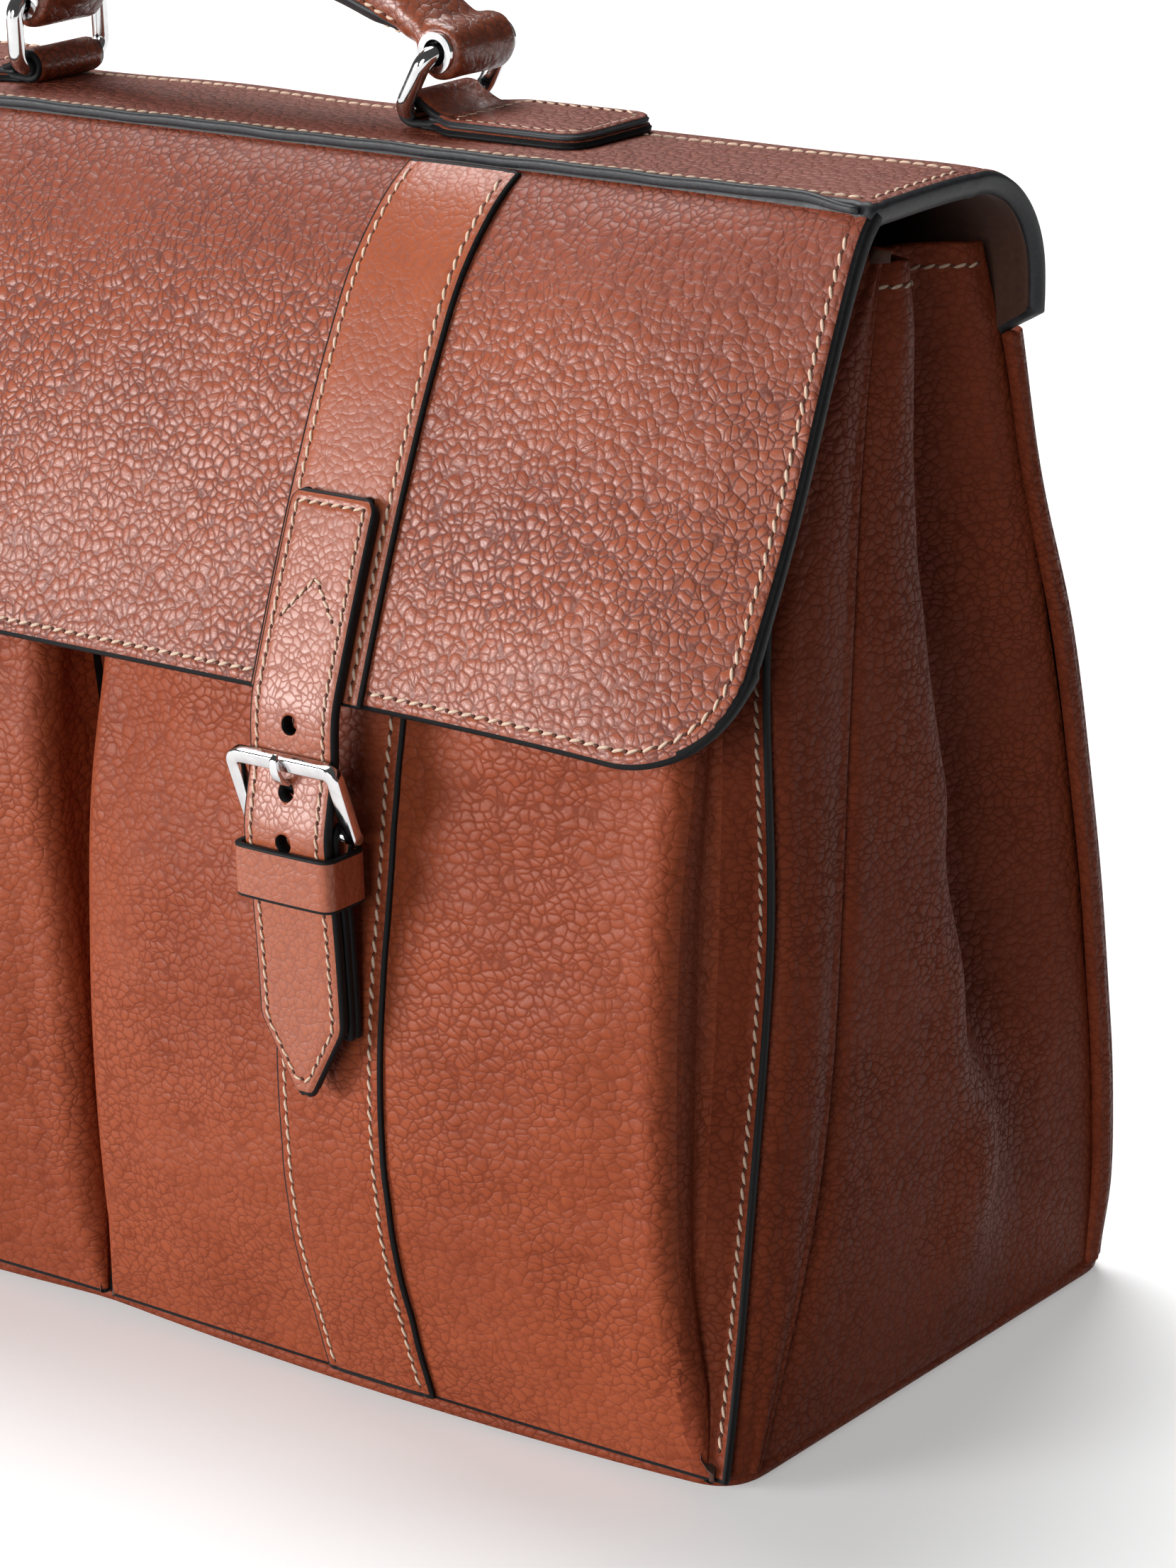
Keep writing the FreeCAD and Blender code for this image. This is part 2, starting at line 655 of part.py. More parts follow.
def ferrule(side):
    """The metal tube in a handle eye, with a rolled rim at each end."""
    x = side * handle_span / 2
    half = ferrule_length / 2
    shape = cylinder_y(ferrule_outer - 0.02, x, -half, half, 0)
    for end in (-1, 1):
        y = end * (half - 0.8)
        shape = shape.fuse(cylinder_y(ferrule_rim, x, y - 0.8, y + 0.8, 0))
    return shape.cut(cylinder_y(ferrule_inner, x, -30, 30, 0))


# Export -------------------------------------------------------------------------------------
def save_pair(shape, name):
    save(shape, name + "_right")
    save(mirrored(shape), name + "_left")


save(wrapped_panel(front_profile, front_seam, -1), "main_front_panel")
save(wrapped_panel(back_profile, back_seam, 1), "main_back_panel")
save_pair(gusset(), "gusset")
save(base_panel(), "base_panel")
save(base_patch(), "base_patch")
save(base_board(), "base_board")
save(lining(front_profile, -1, front_profile[-1][1] - 2.0), "lining_front")
save(lining(back_profile, 1, tail_bottom - 1.0), "lining_back")
save_pair(pocket(), "pocket")
save_pair(pocket_flange(), "pocket_flange")
save_pair(pocket_band(), "pocket_band")
save_pair(snap_stud(), "snap_stud")
save(flap_tail(), "flap_tail")

save(flap_front(), "flap_front")
save(top_layer(top_z - top_leather, top_z), "top_panel")
save(top_layer(top_z - top_leather - top_board_thick, top_z - top_leather), "top_board")
lining_top = top_z - top_leather - top_board_thick
save(top_layer(lining_top - top_lining_thick, lining_top), "top_lining")
save(top_ridge(), "top_ridge")
save(flap_back(), "flap_back")
save_pair(flap_band(), "flap_band")
save_pair(strap_upper(), "strap_upper")
save_pair(handle_base(), "handle_base")

save(placed_ring(-1, left_lean), "ring_left")
save(placed_ring(1, right_lean), "ring_right")
save(place_handle(handle_grip()), "handle_grip")
save(place_handle(arched_round(core_radius, core_reach)), "handle_core")
save(place_handle(handle_end(-1)), "handle_end_left")
save(place_handle(handle_end(1)), "handle_end_right")
save(place_handle(handle_edge()), "handle_edge")
save(place_handle(ferrule(-1)), "ferrule_left")
save(place_handle(ferrule(1)), "ferrule_right")

save_pair(strap_lower(), "strap_lower")
save_pair(chape(), "chape")
save_pair(snap_socket(), "snap_socket")
save_pair(keeper(), "keeper")
save_pair(buckle_frame(), "buckle_frame")
save_pair(buckle_tongue(), "buckle_tongue")

print("handle span", round(handle_span, 2), "tilt", round(handle_tilt, 3), "end angle", round(end_angle, 2))
print("left ring top", left_top, "right ring top", right_top, "loop z", loop_z)
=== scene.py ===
from functools import partial
from math import cos, pi, radians, sin

import bpy
import numpy as np
from mathutils import Matrix, Vector
from mathutils.bvhtree import BVHTree


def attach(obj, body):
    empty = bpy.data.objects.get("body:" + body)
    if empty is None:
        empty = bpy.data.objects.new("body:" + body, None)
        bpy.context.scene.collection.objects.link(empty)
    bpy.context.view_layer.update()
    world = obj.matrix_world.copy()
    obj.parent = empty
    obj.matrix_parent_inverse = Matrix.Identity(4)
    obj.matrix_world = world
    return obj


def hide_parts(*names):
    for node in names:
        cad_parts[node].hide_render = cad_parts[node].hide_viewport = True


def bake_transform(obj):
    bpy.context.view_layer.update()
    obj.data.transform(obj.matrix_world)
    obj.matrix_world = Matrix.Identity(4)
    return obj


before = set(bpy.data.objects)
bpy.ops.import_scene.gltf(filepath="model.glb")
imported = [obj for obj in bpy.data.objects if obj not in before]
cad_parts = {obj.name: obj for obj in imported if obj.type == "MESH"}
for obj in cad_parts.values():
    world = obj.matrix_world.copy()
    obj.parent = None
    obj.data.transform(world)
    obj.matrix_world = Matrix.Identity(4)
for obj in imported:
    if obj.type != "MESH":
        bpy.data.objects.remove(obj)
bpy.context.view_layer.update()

# Looks of the leather briefcase. Shapes are worked out in millimetres in the frame's axes:
# +X along the bag, the front faces -Y, +Z is up. Meshes are written in metres.
MM = 0.001

# Profiles of the body, as (y, z), and of the side seams -----------------------------------------
FRONT = [(-80.5, 4.5), (-77.0, 20), (-68.5, 67), (-59, 128), (-56, 214), (-45, 256), (-26, 284)]
BACK = [(82, 4.5), (85.5, 25), (85.5, 46), (81, 90), (74, 133), (65, 176), (52, 218), (43, 254)]
FRONT_SEAM = [(-71, 4.5), (-63, 22), (-47, 74), (-36.5, 136), (-29, 228), (-18.5, 284)]
BACK_SEAM = [(73.0, 4.5), (76, 25), (76, 46), (71.5, 90), (64.5, 133), (56, 176), (44, 218), (36, 250),
             (27, 277)]
GUSSET = [(4.5, 30.0, 0.5), (60, 25.0, 5.0), (105, 12.0, 14.0), (147, 4.0, 19.0),
          (198, -4.0, 20.0), (246, -7.5, 17.0), (281, -9.0, 12.0)]
POCKET_SIDE = [(-83, 5), (-86, 24), (-87.5, 44), (-88.3, 72), (-87.6, 106), (-85, 142), (-78, 174),
               (-71, 208)]
POCKET_MIDDLE = [(-84, 5), (-90, 24), (-95.5, 44), (-98.4, 72), (-96.8, 106), (-90.8, 142),
                 (-85.3, 174), (-77, 208)]
FLAP_MIDDLE = [(-33, 297.5), (-45, 288.5), (-56, 277), (-68, 257), (-79, 234.3), (-90, 208.5),
               (-99.8, 183.6)]
FLAP_END = [(-33.5, 297), (-38.5, 289.5), (-44.5, 277.5), (-53.5, 258), (-66, 231), (-81, 205),
            (-96.5, 179.2)]
STRAP_HANG = [(-105.9, 183.0), (-106.6, 178.5), (-107.2, 170.0), (-109.0, 162.0), (-110.8, 153.0),
              (-109.8, 143.0), (-108.9, 130.0), (-108.3, 112.0), (-108.5, 88.0)]
BODY_HALF = 201.5
FLAP_HALF = 210.0
FLAP_CORNER = 28.0
FLAP_THICK = 4.6
STRAP_X = 97.0
BAND_HALF = 16.5
STRAP_HALF = 12.5
STRAP_THICK = 3.8
BAR_Y = -103.1
BAR_Z = 153.0
HANDLE_Y = -2.5
RING_X = 63.25
LOOP_Z = 302.65
PANEL_LOW = 4.6
SEAM_INSET = 2.8
FLAP_SEAM_INSET = 3.6
STRAP_SEAM_INSET = 2.5
STRAP_HOLES = (178.5, 163.0, 150.9)
SIDES = ((1, "right"), (-1, "left"))


# Curves and small number helpers ----------------------------------------------------------------
def unit(v):
    """Vectors scaled to length one."""
    return v / np.maximum(np.linalg.norm(v, axis=-1, keepdims=True), 1e-9)


def run_length(line):
    """Distance along a line of points, from its start to each point."""
    return np.r_[0, np.cumsum(np.linalg.norm(np.diff(line, axis=0), axis=1))]


def points_at(line, d, stops):
    """Points of a line at the given stops, where d is the distance along it of each of its points."""
    return np.stack([np.interp(stops, d, line[:, k]) for k in range(line.shape[1])], 1)


def resample(line, count):
    """count evenly spaced points along a line."""
    d = run_length(line)
    return points_at(line, d, np.linspace(0, d[-1], count))


def arc(centre, radii, start, end, count):
    """Points of an ellipse's arc, from the start angle to the end angle."""
    angles = np.linspace(start, end, count)
    return [(centre[0] + radii[0] * cos(a), centre[1] + radii[1] * sin(a)) for a in angles]


def circle(radius, sides):
    """Points round a circle, without the first one again at the end."""
    return arc((0, 0), (radius, radius), 0, 2 * pi, sides + 1)[:-1]


def spline(points, count):
    """count evenly spaced points on a smooth curve through the given points."""
    p = np.array(points, float)
    d = run_length(p)
    slope = np.gradient(p, d, axis=0)
    t = np.linspace(0, d[-1], 12 * len(p))
    k = np.clip(np.searchsorted(d, t, side="right") - 1, 0, len(p) - 2)
    h = (d[k + 1] - d[k])[:, None]
    f = ((t - d[k])[:, None]) / h
    line = ((2 * f**3 - 3 * f**2 + 1) * p[k] + (f**3 - 2 * f**2 + f) * h * slope[k]
            + (3 * f**2 - 2 * f**3) * p[k + 1] + (f**3 - f**2) * h * slope[k + 1])
    return resample(line, count)


def height_curve(profile):
    """A function that gives y at height z on a rising profile."""
    line = spline(profile, 200)
    return lambda z: np.interp(z, line[:, 1], line[:, 0])


front_y = height_curve(FRONT)
back_y = height_curve(BACK)
front_seam_y = height_curve(FRONT_SEAM)
back_seam_y = height_curve(BACK_SEAM)
pocket_side_y = height_curve(POCKET_SIDE)
pocket_middle_y = height_curve(POCKET_MIDDLE)


def smoothstep(low, high, v):
    """0 below low, 1 above high and a smooth rise between them."""
    t = np.clip((np.asarray(v, float) - low) / (high - low), 0, 1)
    return t * t * (3 - 2 * t)


def span(low, high, step, fine=0.8, zone=6.0):
    """Positions from low to high, a step apart, closer together near both ends."""
    near = np.arange(0, zone, fine)
    middle = np.linspace(low + zone, high - zone, max(2, int((high - low - 2 * zone) / step)))
    return np.r_[low + near, middle, (high - near)[::-1]]


def waves(points, length, seed, count=9, stretch=(1.0, 1.0, 1.0)):
    """A smooth seeded ripple, about -1 to 1, that varies over the given length."""
    rng = np.random.default_rng(seed)
    total = np.zeros(points.shape[:-1])
    for _ in range(count):
        direction = unit(rng.normal(size=3))
        k = direction * np.array(stretch) * 2 * pi / (length * rng.uniform(0.7, 1.6))
        total += np.sin(points @ k + rng.uniform(0, 2 * pi))
    return total / np.sqrt(count)


def offset_line(line, distance):
    """A (y, z) line moved to its right, as seen along +X."""
    g = unit(np.gradient(line, axis=0))
    return line + distance * np.stack([g[:, 1], -g[:, 0]], 1)


def surface_normals(grid, around=False):
    """The normal at each point of a grid, whose rows close on themselves if around is set."""
    if around:
        du = np.roll(grid, -1, 0) - np.roll(grid, 1, 0)
    else:
        du = np.gradient(grid, axis=0)
    return unit(np.cross(du, np.gradient(grid, axis=1)))


# Mesh building ----------------------------------------------------------------------------------
fronts = {}


def note_rest(piece):
    """Keep each point's own place, in mm, for the leather's grain to follow."""
    mesh = piece.data
    co = np.empty(len(mesh.vertices) * 3, np.float32)
    mesh.vertices.foreach_get("co", co)
    old = mesh.attributes.get("rest")
    if old:
        mesh.attributes.remove(old)
    mesh.attributes.new("rest", "FLOAT_VECTOR", "POINT").data.foreach_set("vector", co / MM)


def new_piece(name, points, faces, face_slots, materials):
    """A smooth mesh object from points in mm, with a material slot for each face."""
    mesh = bpy.data.meshes.new(name)
    mesh.from_pydata((np.asarray(points) * MM).tolist(), [], faces)
    for material in materials:
        mesh.materials.append(material)
    mesh.polygons.foreach_set("material_index", face_slots)
    mesh.polygons.foreach_set("use_smooth", [True] * len(faces))
    mesh.update()
    piece = bpy.data.objects.new(name, mesh)
    bpy.context.scene.collection.objects.link(piece)
    note_rest(piece)
    return piece


def grid_faces(rows, columns, start=0, around=False):
    """Faces of a grid of points, row by row."""
    faces = []
    for i in range(rows if around else rows - 1):
        a = start + i * columns
        b = start + ((i + 1) % rows) * columns
        faces += [(a + j, b + j, b + j + 1, a + j + 1) for j in range(columns - 1)]
    return faces


def tube_faces(rings, sides, start=0, closed=False):
    """Faces of a tube of points, ring by ring; without ends if closed is set, when it meets itself."""
    faces = []
    for i in range(rings if closed else rings - 1):
        a = start + i * sides
        b = start + ((i + 1) % rings) * sides
        faces += [(a + j, a + (j + 1) % sides, b + (j + 1) % sides, b + j) for j in range(sides)]
    if not closed:
        faces.append(tuple(range(start, start + sides))[::-1])
        faces.append(tuple(range(start + (rings - 1) * sides, start + rings * sides)))
    return faces


def in_slot(piece, slot):
    """Give all of a piece's faces the material in one slot."""
    piece.data.polygons.foreach_set("material_index", [slot] * len(piece.data.polygons))
    return piece


# A sheet's edge, as (share of its thickness inwards, bulge as a share of its thickness).
RIM = ((0.1, 0.14), (0.5, 0.24), (0.9, 0.14))


def sheet(name, grid, thick, materials, outward, around=False, paint=None):
    """A leather sheet with its outer face on the grid, painted round edges and an inner face."""
    grid = np.array(grid, float)
    normals = surface_normals(grid, around)
    middle = normals[normals.shape[0] // 2, normals.shape[1] // 2]
    if middle @ np.array(outward, float) < 0:
        grid = grid[:, ::-1]
        normals = -normals[:, ::-1]
        if not np.isscalar(thick):
            thick = thick[:, ::-1]
        if paint is not None:
            paint = paint[:, ::-1]
    n, m = grid.shape[:2]
    depth = np.broadcast_to(thick, (n, m))[..., None]
    back = grid - normals * depth
    points = [grid.reshape(-1, 3), back.reshape(-1, 3)]
    faces = grid_faces(n, m, 0, around)
    fronts[name] = BVHTree.FromPolygons(grid.reshape(-1, 3).tolist(), faces)
    if paint is None:
        paint = np.zeros((n if around else n - 1, m - 1), bool)
        paint[:, [0, -1]] = True
        if not around:
            paint[[0, -1]] = True
    slots = [int(p) for p in paint.ravel()]
    inner = [tuple(reversed(f)) for f in grid_faces(n, m, n * m, around)]
    faces += inner
    slots += [2] * len(inner)
    if around:
        loops = [[(i, 0) for i in range(n)], [(i, m - 1) for i in range(n)][::-1]]
    else:
        loops = [[(i, 0) for i in range(n)] + [(n - 1, j) for j in range(1, m)]
                 + [(i, m - 1) for i in range(n - 2, -1, -1)] + [(0, j) for j in range(m - 2, 0, -1)]]
    start = 2 * n * m
    for loop in loops:
        i = np.array([p[0] for p in loop])
        j = np.array([p[1] for p in loop])
        i_in = i if around else np.clip(i, 1, n - 2)
        j_in = np.clip(j, 1, m - 2)
        normal = normals[i, j]
        rim = grid[i, j]
        out = unit(np.cross(np.roll(rim, -1, 0) - np.roll(rim, 1, 0), normal))
        out *= np.sign((out * (rim - grid[i_in, j_in])).sum(1).mean())
        rings = [list(i * m + j)]
        t = depth[i, j]
        for share, bulge in RIM:
            points.append(rim - normal * t * share + out * t * bulge)
            rings.append(list(range(start, start + len(loop))))
            start += len(loop)
        rings.append(list(n * m + i * m + j))
        for a, b in zip(rings, rings[1:]):
            for k in range(len(loop)):
                k2 = (k + 1) % len(loop)
                faces.append((int(a[k2]), int(a[k]), int(b[k]), int(b[k2])))
                slots.append(1)
    return new_piece(name, np.concatenate(points), faces, slots, materials)


def sweep(name, path, section, across, materials, closed=False):
    """A bar of the given (across, up) section along a path; across is a direction or one per point."""
    path = np.array(path, float)
    if closed:
        tangent = unit(np.roll(path, -1, 0) - np.roll(path, 1, 0))
    else:
        tangent = unit(np.gradient(path, axis=0))
    side = np.broadcast_to(np.array(across, float), path.shape)
    side = unit(side - tangent * (side * tangent).sum(1)[:, None])
    up = np.cross(tangent, side)
    section = np.array(section, float)
    if section.ndim == 2:
        section = np.broadcast_to(section, (len(path),) + section.shape)
    points = path[:, None] + side[:, None] * section[:, :, :1] + up[:, None] * section[:, :, 1:]
    faces = tube_faces(len(path), section.shape[1], closed=closed)
    return new_piece(name, points.reshape(-1, 3), faces, [0] * len(faces), materials)


def round_section(half_width, half_height, corner, steps=4):
    """A closed rectangle section with round corners."""
    points = []
    for quarter, (sx, sy) in enumerate(((1, 1), (-1, 1), (-1, -1), (1, -1))):
        centre = (sx * (half_width - corner), sy * (half_height - corner))
        start = quarter * pi / 2
        points += arc(centre, (corner, corner), start, start + pi / 2, steps + 1)
    return points


def rounded_outline(corners, radii, step=1.5):
    """A closed outline through (x, y) corners, each rounded by its radius."""
    points = []
    count = len(corners)
    for i, radius in enumerate(radii):
        p = np.array(corners[i], float)
        a = p + unit(np.array(corners[i - 1], float) - p) * radius
        b = p + unit(np.array(corners[(i + 1) % count], float) - p) * radius
        for t in np.linspace(0, 1, 9):
            points.append((1 - t) ** 2 * a + 2 * t * (1 - t) * p + t * t * b)
    line = np.array(points + [points[0]])
    count = max(24, int(run_length(line)[-1] / step))
    return resample(line, count + 1)[:-1]


# A plate's upper face near its edge, as (distance from the edge, drop).
PLATE_RINGS = ((0.0, 0.55), (0.25, 0.16), (0.7, 0.02), (1.6, 0.0), (2.3, 0.06), (2.8, 0.16),
               (3.3, 0.06), (4.2, 0.0))


def plate(name, outline, low, high, materials, rings=PLATE_RINGS):
    """A flat piece of leather with a round painted edge and a pressed line near it."""
    outline = np.array(outline, float)
    g = unit(np.roll(outline, -1, 0) - np.roll(outline, 1, 0))
    inward = np.stack([-g[:, 1], g[:, 0]], 1)
    area = (outline[:, 0] * np.roll(outline[:, 1], -1) - np.roll(outline[:, 0], -1) * outline[:, 1]).sum()
    if area < 0:
        inward = -inward
    k = len(outline)
    thick = high - low
    levels = [(inset, high - drop * min(thick, 2.0)) for inset, drop in rings[::-1]]
    levels += [(-0.12 * thick, high - 0.5 * thick), (0.0, high - 0.9 * thick), (0.5, low)]
    points = np.concatenate([np.c_[outline + inward * inset, np.full(k, z)] for inset, z in levels])
    faces = tube_faces(len(levels), k)
    painted_from = len(rings) - 2
    slots = [0] * painted_from * k + [1] * (len(levels) - 1 - painted_from) * k + [0, 2]
    fronts[name] = BVHTree.FromPolygons(points.tolist(), [f for f, s in zip(faces, slots) if s == 0])
    piece = new_piece(name, points, faces, slots, materials)
    if area > 0:
        piece.data.flip_normals()
    return piece


def cut_holes(piece, *cutters):
    """Cut each cutter's shape out of the piece, then remove the cutters."""
    for cutter in cutters:
        modifier = piece.modifiers.new("cut", "BOOLEAN")
        modifier.operation = "DIFFERENCE"
        modifier.solver = "EXACT"
        modifier.object = cutter
    bake_modifiers(piece)
    for cutter in cutters:
        bpy.data.objects.remove(cutter)


def bake_modifiers(piece):
    """Turn a piece's modifiers into its mesh."""
    depsgraph = bpy.context.evaluated_depsgraph_get()
    depsgraph.update()
    mesh = bpy.data.meshes.new_from_object(piece.evaluated_get(depsgraph))
    piece.modifiers.clear()
    piece.data = mesh
    mesh.polygons.foreach_set("use_smooth", [True] * len(mesh.polygons))
    note_rest(piece)


def bar_path(centre, axis, length):
    """Three points of a straight bar centred on a point."""
    return [np.array(centre, float) + np.array(axis, float) * length * t for t in (-0.5, 0.0, 0.5)]


def round_cutter(centre, radius, length, materials):
    """A cylinder along Y that cuts a hole with painted walls."""
    path = bar_path(centre, (0, 1, 0), length)
    return in_slot(sweep("cutter", path, circle(radius, 28), (0, 0, 1), materials), 1)


# Stitches ---------------------------------------------------------------------------------------
PITCH = 3.75
threads = {}


def thread_template(length, radius, sides=6, rings=7):
    """One stitch along X, thinner and sinking towards both ends."""
    points = []
    for t in np.linspace(-1, 1, rings):
        size = radius * (1 - 0.75 * abs(t) ** 3)
        points += [(t * length / 2, y, 0.85 * z - 0.62 * radius * t**4) for y, z in circle(size, sides)]
    return np.array(points), tube_faces(rings, sides)


def hole_template(sides=8):
    """One needle hole, as a flat lens that takes a dark finish: painted shade in the hole."""
    points = [(0, 0, 0.16), (0, 0, -0.3)]
    points += [(0.62 * x, 0.5 * y, 0.0) for x, y in circle(1, sides)]
    ring = [(2 + i, 2 + (i + 1) % sides) for i in range(sides)]
    return np.array(points), [(0, a, b) for a, b in ring] + [(1, b, a) for a, b in ring]


HOLE = hole_template()


def stitch(front, line, key, closed=False, pitch=PITCH, radius=0.44, slant=17.0):
    """A row of stitches along a line, laid on the front face of a piece."""
    line = np.array(line, float)
    if closed:
        line = np.vstack([line, line[:1]])
    line = resample(line, max(20, int(run_length(line)[-1] * 2)))
    total = run_length(line)[-1]
    count = max(2, int(round(total / pitch)))
    spots = resample(line, 2 * count + 1)
    template = thread_template(total / count * 0.84, radius)
    rng = np.random.default_rng(count)
    store = threads.setdefault(key, {"thread": [[], []], "hole": [[], []]})
    tree = fronts[front]
    for k in range(2 * count + 1):
        found, normal, _, _ = tree.find_nearest(Vector(spots[k]))
        n = np.array(normal)
        centre = np.array(found)
        along = spots[min(k + 1, 2 * count)] - spots[max(k - 1, 0)]
        along = unit(along - n * (along @ n))
        if k % 2:
            turn = radians(slant + rng.normal() * 2.5)
            (shape, faces), kind, lift = template, "thread", radius * 0.45
        else:
            turn = 0.0
            (shape, faces), kind, lift = HOLE, "hole", 0.03
        side = np.cross(n, along)
        x_axis = along * cos(turn) + side * sin(turn)
        y_axis = np.cross(n, x_axis)
        points = centre + n * lift + shape @ np.array([x_axis, y_axis, n])
        base = sum(len(p) for p in store[kind][0])
        store[kind][0].append(points)
        store[kind][1].extend([tuple(base + i for i in f) for f in faces])


# Materials --------------------------------------------------------------------------------------
def feed(tree, shader_node, values):
    """Link or set a node's inputs, by name or by index."""
    for name, value in values.items():
        if isinstance(value, bpy.types.NodeSocket):
            tree.links.new(value, shader_node.inputs[name])
        else:
            shader_node.inputs[name].default_value = value


def node(tree, kind, values, **settings):
    made = tree.nodes.new(kind)
    for name, value in settings.items():
        setattr(made, name, value)
    feed(tree, made, values)
    return made


def math_node(tree, operation, a, b=0.0, clamp=False):
    return node(tree, "ShaderNodeMath", {0: a, 1: b}, operation=operation, use_clamp=clamp).outputs[0]


def vector_node(tree, operation, values):
    return node(tree, "ShaderNodeVectorMath", values, operation=operation).outputs[0]


def ramp(tree, value, low, high, to_low=0.0, to_high=1.0):
    """A smooth change from to_low to to_high as the value goes from low to high."""
    made = node(tree, "ShaderNodeMapRange", {"Value": value, "From Min": low, "From Max": high,
                                             "To Min": to_low, "To Max": to_high})
    made.interpolation_type = "SMOOTHSTEP"
    return made.outputs[0]


def mix_colour(tree, share, a, b):
    return node(tree, "ShaderNodeMix", {0: share, 6: a, 7: b}, data_type="RGBA").outputs[2]


def new_material(name):
    material = bpy.data.materials.new(name)
    material.use_nodes = True
    tree = material.node_tree
    return material, tree, tree.nodes["Principled BSDF"]


def noise(tree, place, scale, detail=3.0, rough=0.5):
    return node(tree, "ShaderNodeTexNoise", {"Vector": place, "Scale": scale, "Detail": detail,
                                             "Roughness": rough})


def cells(tree, place, scale, feature="DISTANCE_TO_EDGE"):
    return node(tree, "ShaderNodeTexVoronoi", {"Vector": place, "Scale": scale}, feature=feature)


def bumped(tree, height, strength, depth):
    """A normal for a height pattern, depth in mm."""
    bump = node(tree, "ShaderNodeBump", {"Height": height, "Strength": strength, "Distance": depth * MM})
    return bump.outputs[0]


def leather(name, light, dark, crease, pebble, depth, rough=0.42, coat=0.0, crease_share=0.75,
            stretch=(1.0, 1.0, 1.0), specular=0.42, painted_shade_heights=(900.0, 901.0)):
    """Pebbled leather: rounded cells parted by fine creases, pores, soft wrinkles and uneven tint.
    The tops of the pebbles are made a little lighter: partly wear, partly a painted highlight.

    pebble is a cell's size and depth the grain's, in mm; the last argument gives the band of heights
    over which the leather turns darker and duller, painted shade for the weaker sheen high on the
    flap; by default it is out of reach.
    """
    material, tree, shader = new_material(name)
    add = partial(math_node, tree, "ADD")
    multiply = partial(math_node, tree, "MULTIPLY")
    rest = node(tree, "ShaderNodeAttribute", {}, attribute_name="rest").outputs["Vector"]
    bend = noise(tree, rest, 0.16, 2.0)
    shift = vector_node(tree, "SUBTRACT", {0: bend.outputs["Color"], 1: (0.5, 0.5, 0.5)})
    shift = vector_node(tree, "SCALE", {0: shift, "Scale": 4.0})
    place = vector_node(tree, "ADD", {0: rest, 1: shift})
    place = vector_node(tree, "MULTIPLY", {0: place, 1: stretch})
    coarse = cells(tree, place, 1 / pebble).outputs["Distance"]
    fine = cells(tree, place, 2.1 / pebble).outputs["Distance"]
    zone = ramp(tree, noise(tree, rest, 0.024, 2.0).outputs["Fac"], 0.38, 0.62)
    coarse_part = ramp(tree, coarse, 0.0, 0.16, 1.0, 0.0)
    coarse_part = multiply(coarse_part, ramp(tree, zone, 0.0, 1.0, 0.6, 1.0))
    fine_part = ramp(tree, fine, 0.0, 0.10, 1.0, 0.0)
    fine_part = multiply(fine_part, ramp(tree, zone, 0.0, 1.0, 0.28, 0.12))
    lines = math_node(tree, "MAXIMUM", coarse_part, fine_part)
    centre = cells(tree, place, 1 / pebble, "F1").outputs["Distance"]
    dome = math_node(tree, "SUBTRACT", 1.0, multiply(centre, multiply(centre, 1.45)), True)
    pores = noise(tree, rest, 2.2, 2.0).outputs["Fac"]
    folds = noise(tree, place, 0.09, 4.0, 0.6).outputs["Fac"]
    height = multiply(lines, -0.3)
    for part, share in ((dome, 1.4), (pores, 0.26), (folds, 1.5)):
        height = add(height, multiply(part, share))
    dye_and_painted_light = ramp(tree, noise(tree, rest, 0.016, 3.0, 0.55).outputs["Fac"], 0.3, 0.7)
    mottle = ramp(tree, noise(tree, rest, 0.22, 3.0).outputs["Fac"], 0.3, 0.7)
    dye_and_painted_light = add(multiply(dye_and_painted_light, 0.55), multiply(mottle, 0.25))
    # Pebble tops a little lighter: partly wear, partly a painted highlight.
    dye_and_painted_light = add(dye_and_painted_light, multiply(dome, 0.3))
    # Darker and duller above the given band of heights: painted shade for the weaker sheen high on the
    # flap.
    high = node(tree, "ShaderNodeSeparateXYZ", {0: rest}).outputs["Z"]
    below_painted_shade = ramp(tree, high, *painted_shade_heights, 1.0, 0.0)
    dye_and_painted_light = multiply(dye_and_painted_light, add(multiply(below_painted_shade, 0.9), 0.1))
    colour = mix_colour(tree, dye_and_painted_light, (*dark, 1), (*light, 1))
    colour = mix_colour(tree, multiply(lines, crease_share, True), colour, (*crease, 1))
    dull = add(multiply(lines, 0.25), multiply(pores, 0.16))
    dull = add(dull, multiply(below_painted_shade, -0.14))
    feed(tree, shader, {"Base Color": colour, "Roughness": add(dull, rough + 0.06),
                        "Normal": bumped(tree, height, 0.9, depth), "Specular IOR Level": specular,
                        "Coat Weight": coat, "Coat Roughness": 0.30})
    return material


def grained(name, colour, other, rough, scale, depth, sheen=0.0, specular=0.4):
    """A plain finish with a fine uneven grain: paint, lining, thread or board."""
    material, tree, shader = new_material(name)
    place = node(tree, "ShaderNodeTexCoord", {}).outputs["Object"]
    grain = noise(tree, place, scale, 4.0).outputs["Fac"]
    mixed = mix_colour(tree, ramp(tree, grain, 0.3, 0.7), (*colour, 1), (*other, 1))
    uneven = ramp(tree, grain, 0.25, 0.75, rough - 0.07, rough + 0.07)
    feed(tree, shader, {"Base Color": mixed, "Roughness": uneven,
                        "Normal": bumped(tree, grain, 0.5, depth),
                        "Sheen Weight": sheen, "Specular IOR Level": specular})
    return material


def polished(name):
    """Polished plated metal with faint smears."""
    material, tree, shader = new_material(name)
    place = node(tree, "ShaderNodeTexCoord", {}).outputs["Object"]
    smear = noise(tree, place, 260.0, 3.0).outputs["Fac"]
    rough = ramp(tree, smear, 0.3, 0.75, 0.07, 0.17)
    mixed = mix_colour(tree, ramp(tree, smear, 0.3, 0.7), (0.60, 0.60, 0.61, 1), (0.70, 0.70, 0.70, 1))
    feed(tree, shader, {"Base Color": mixed, "Roughness": rough, "Metallic": 1.0})
    return material
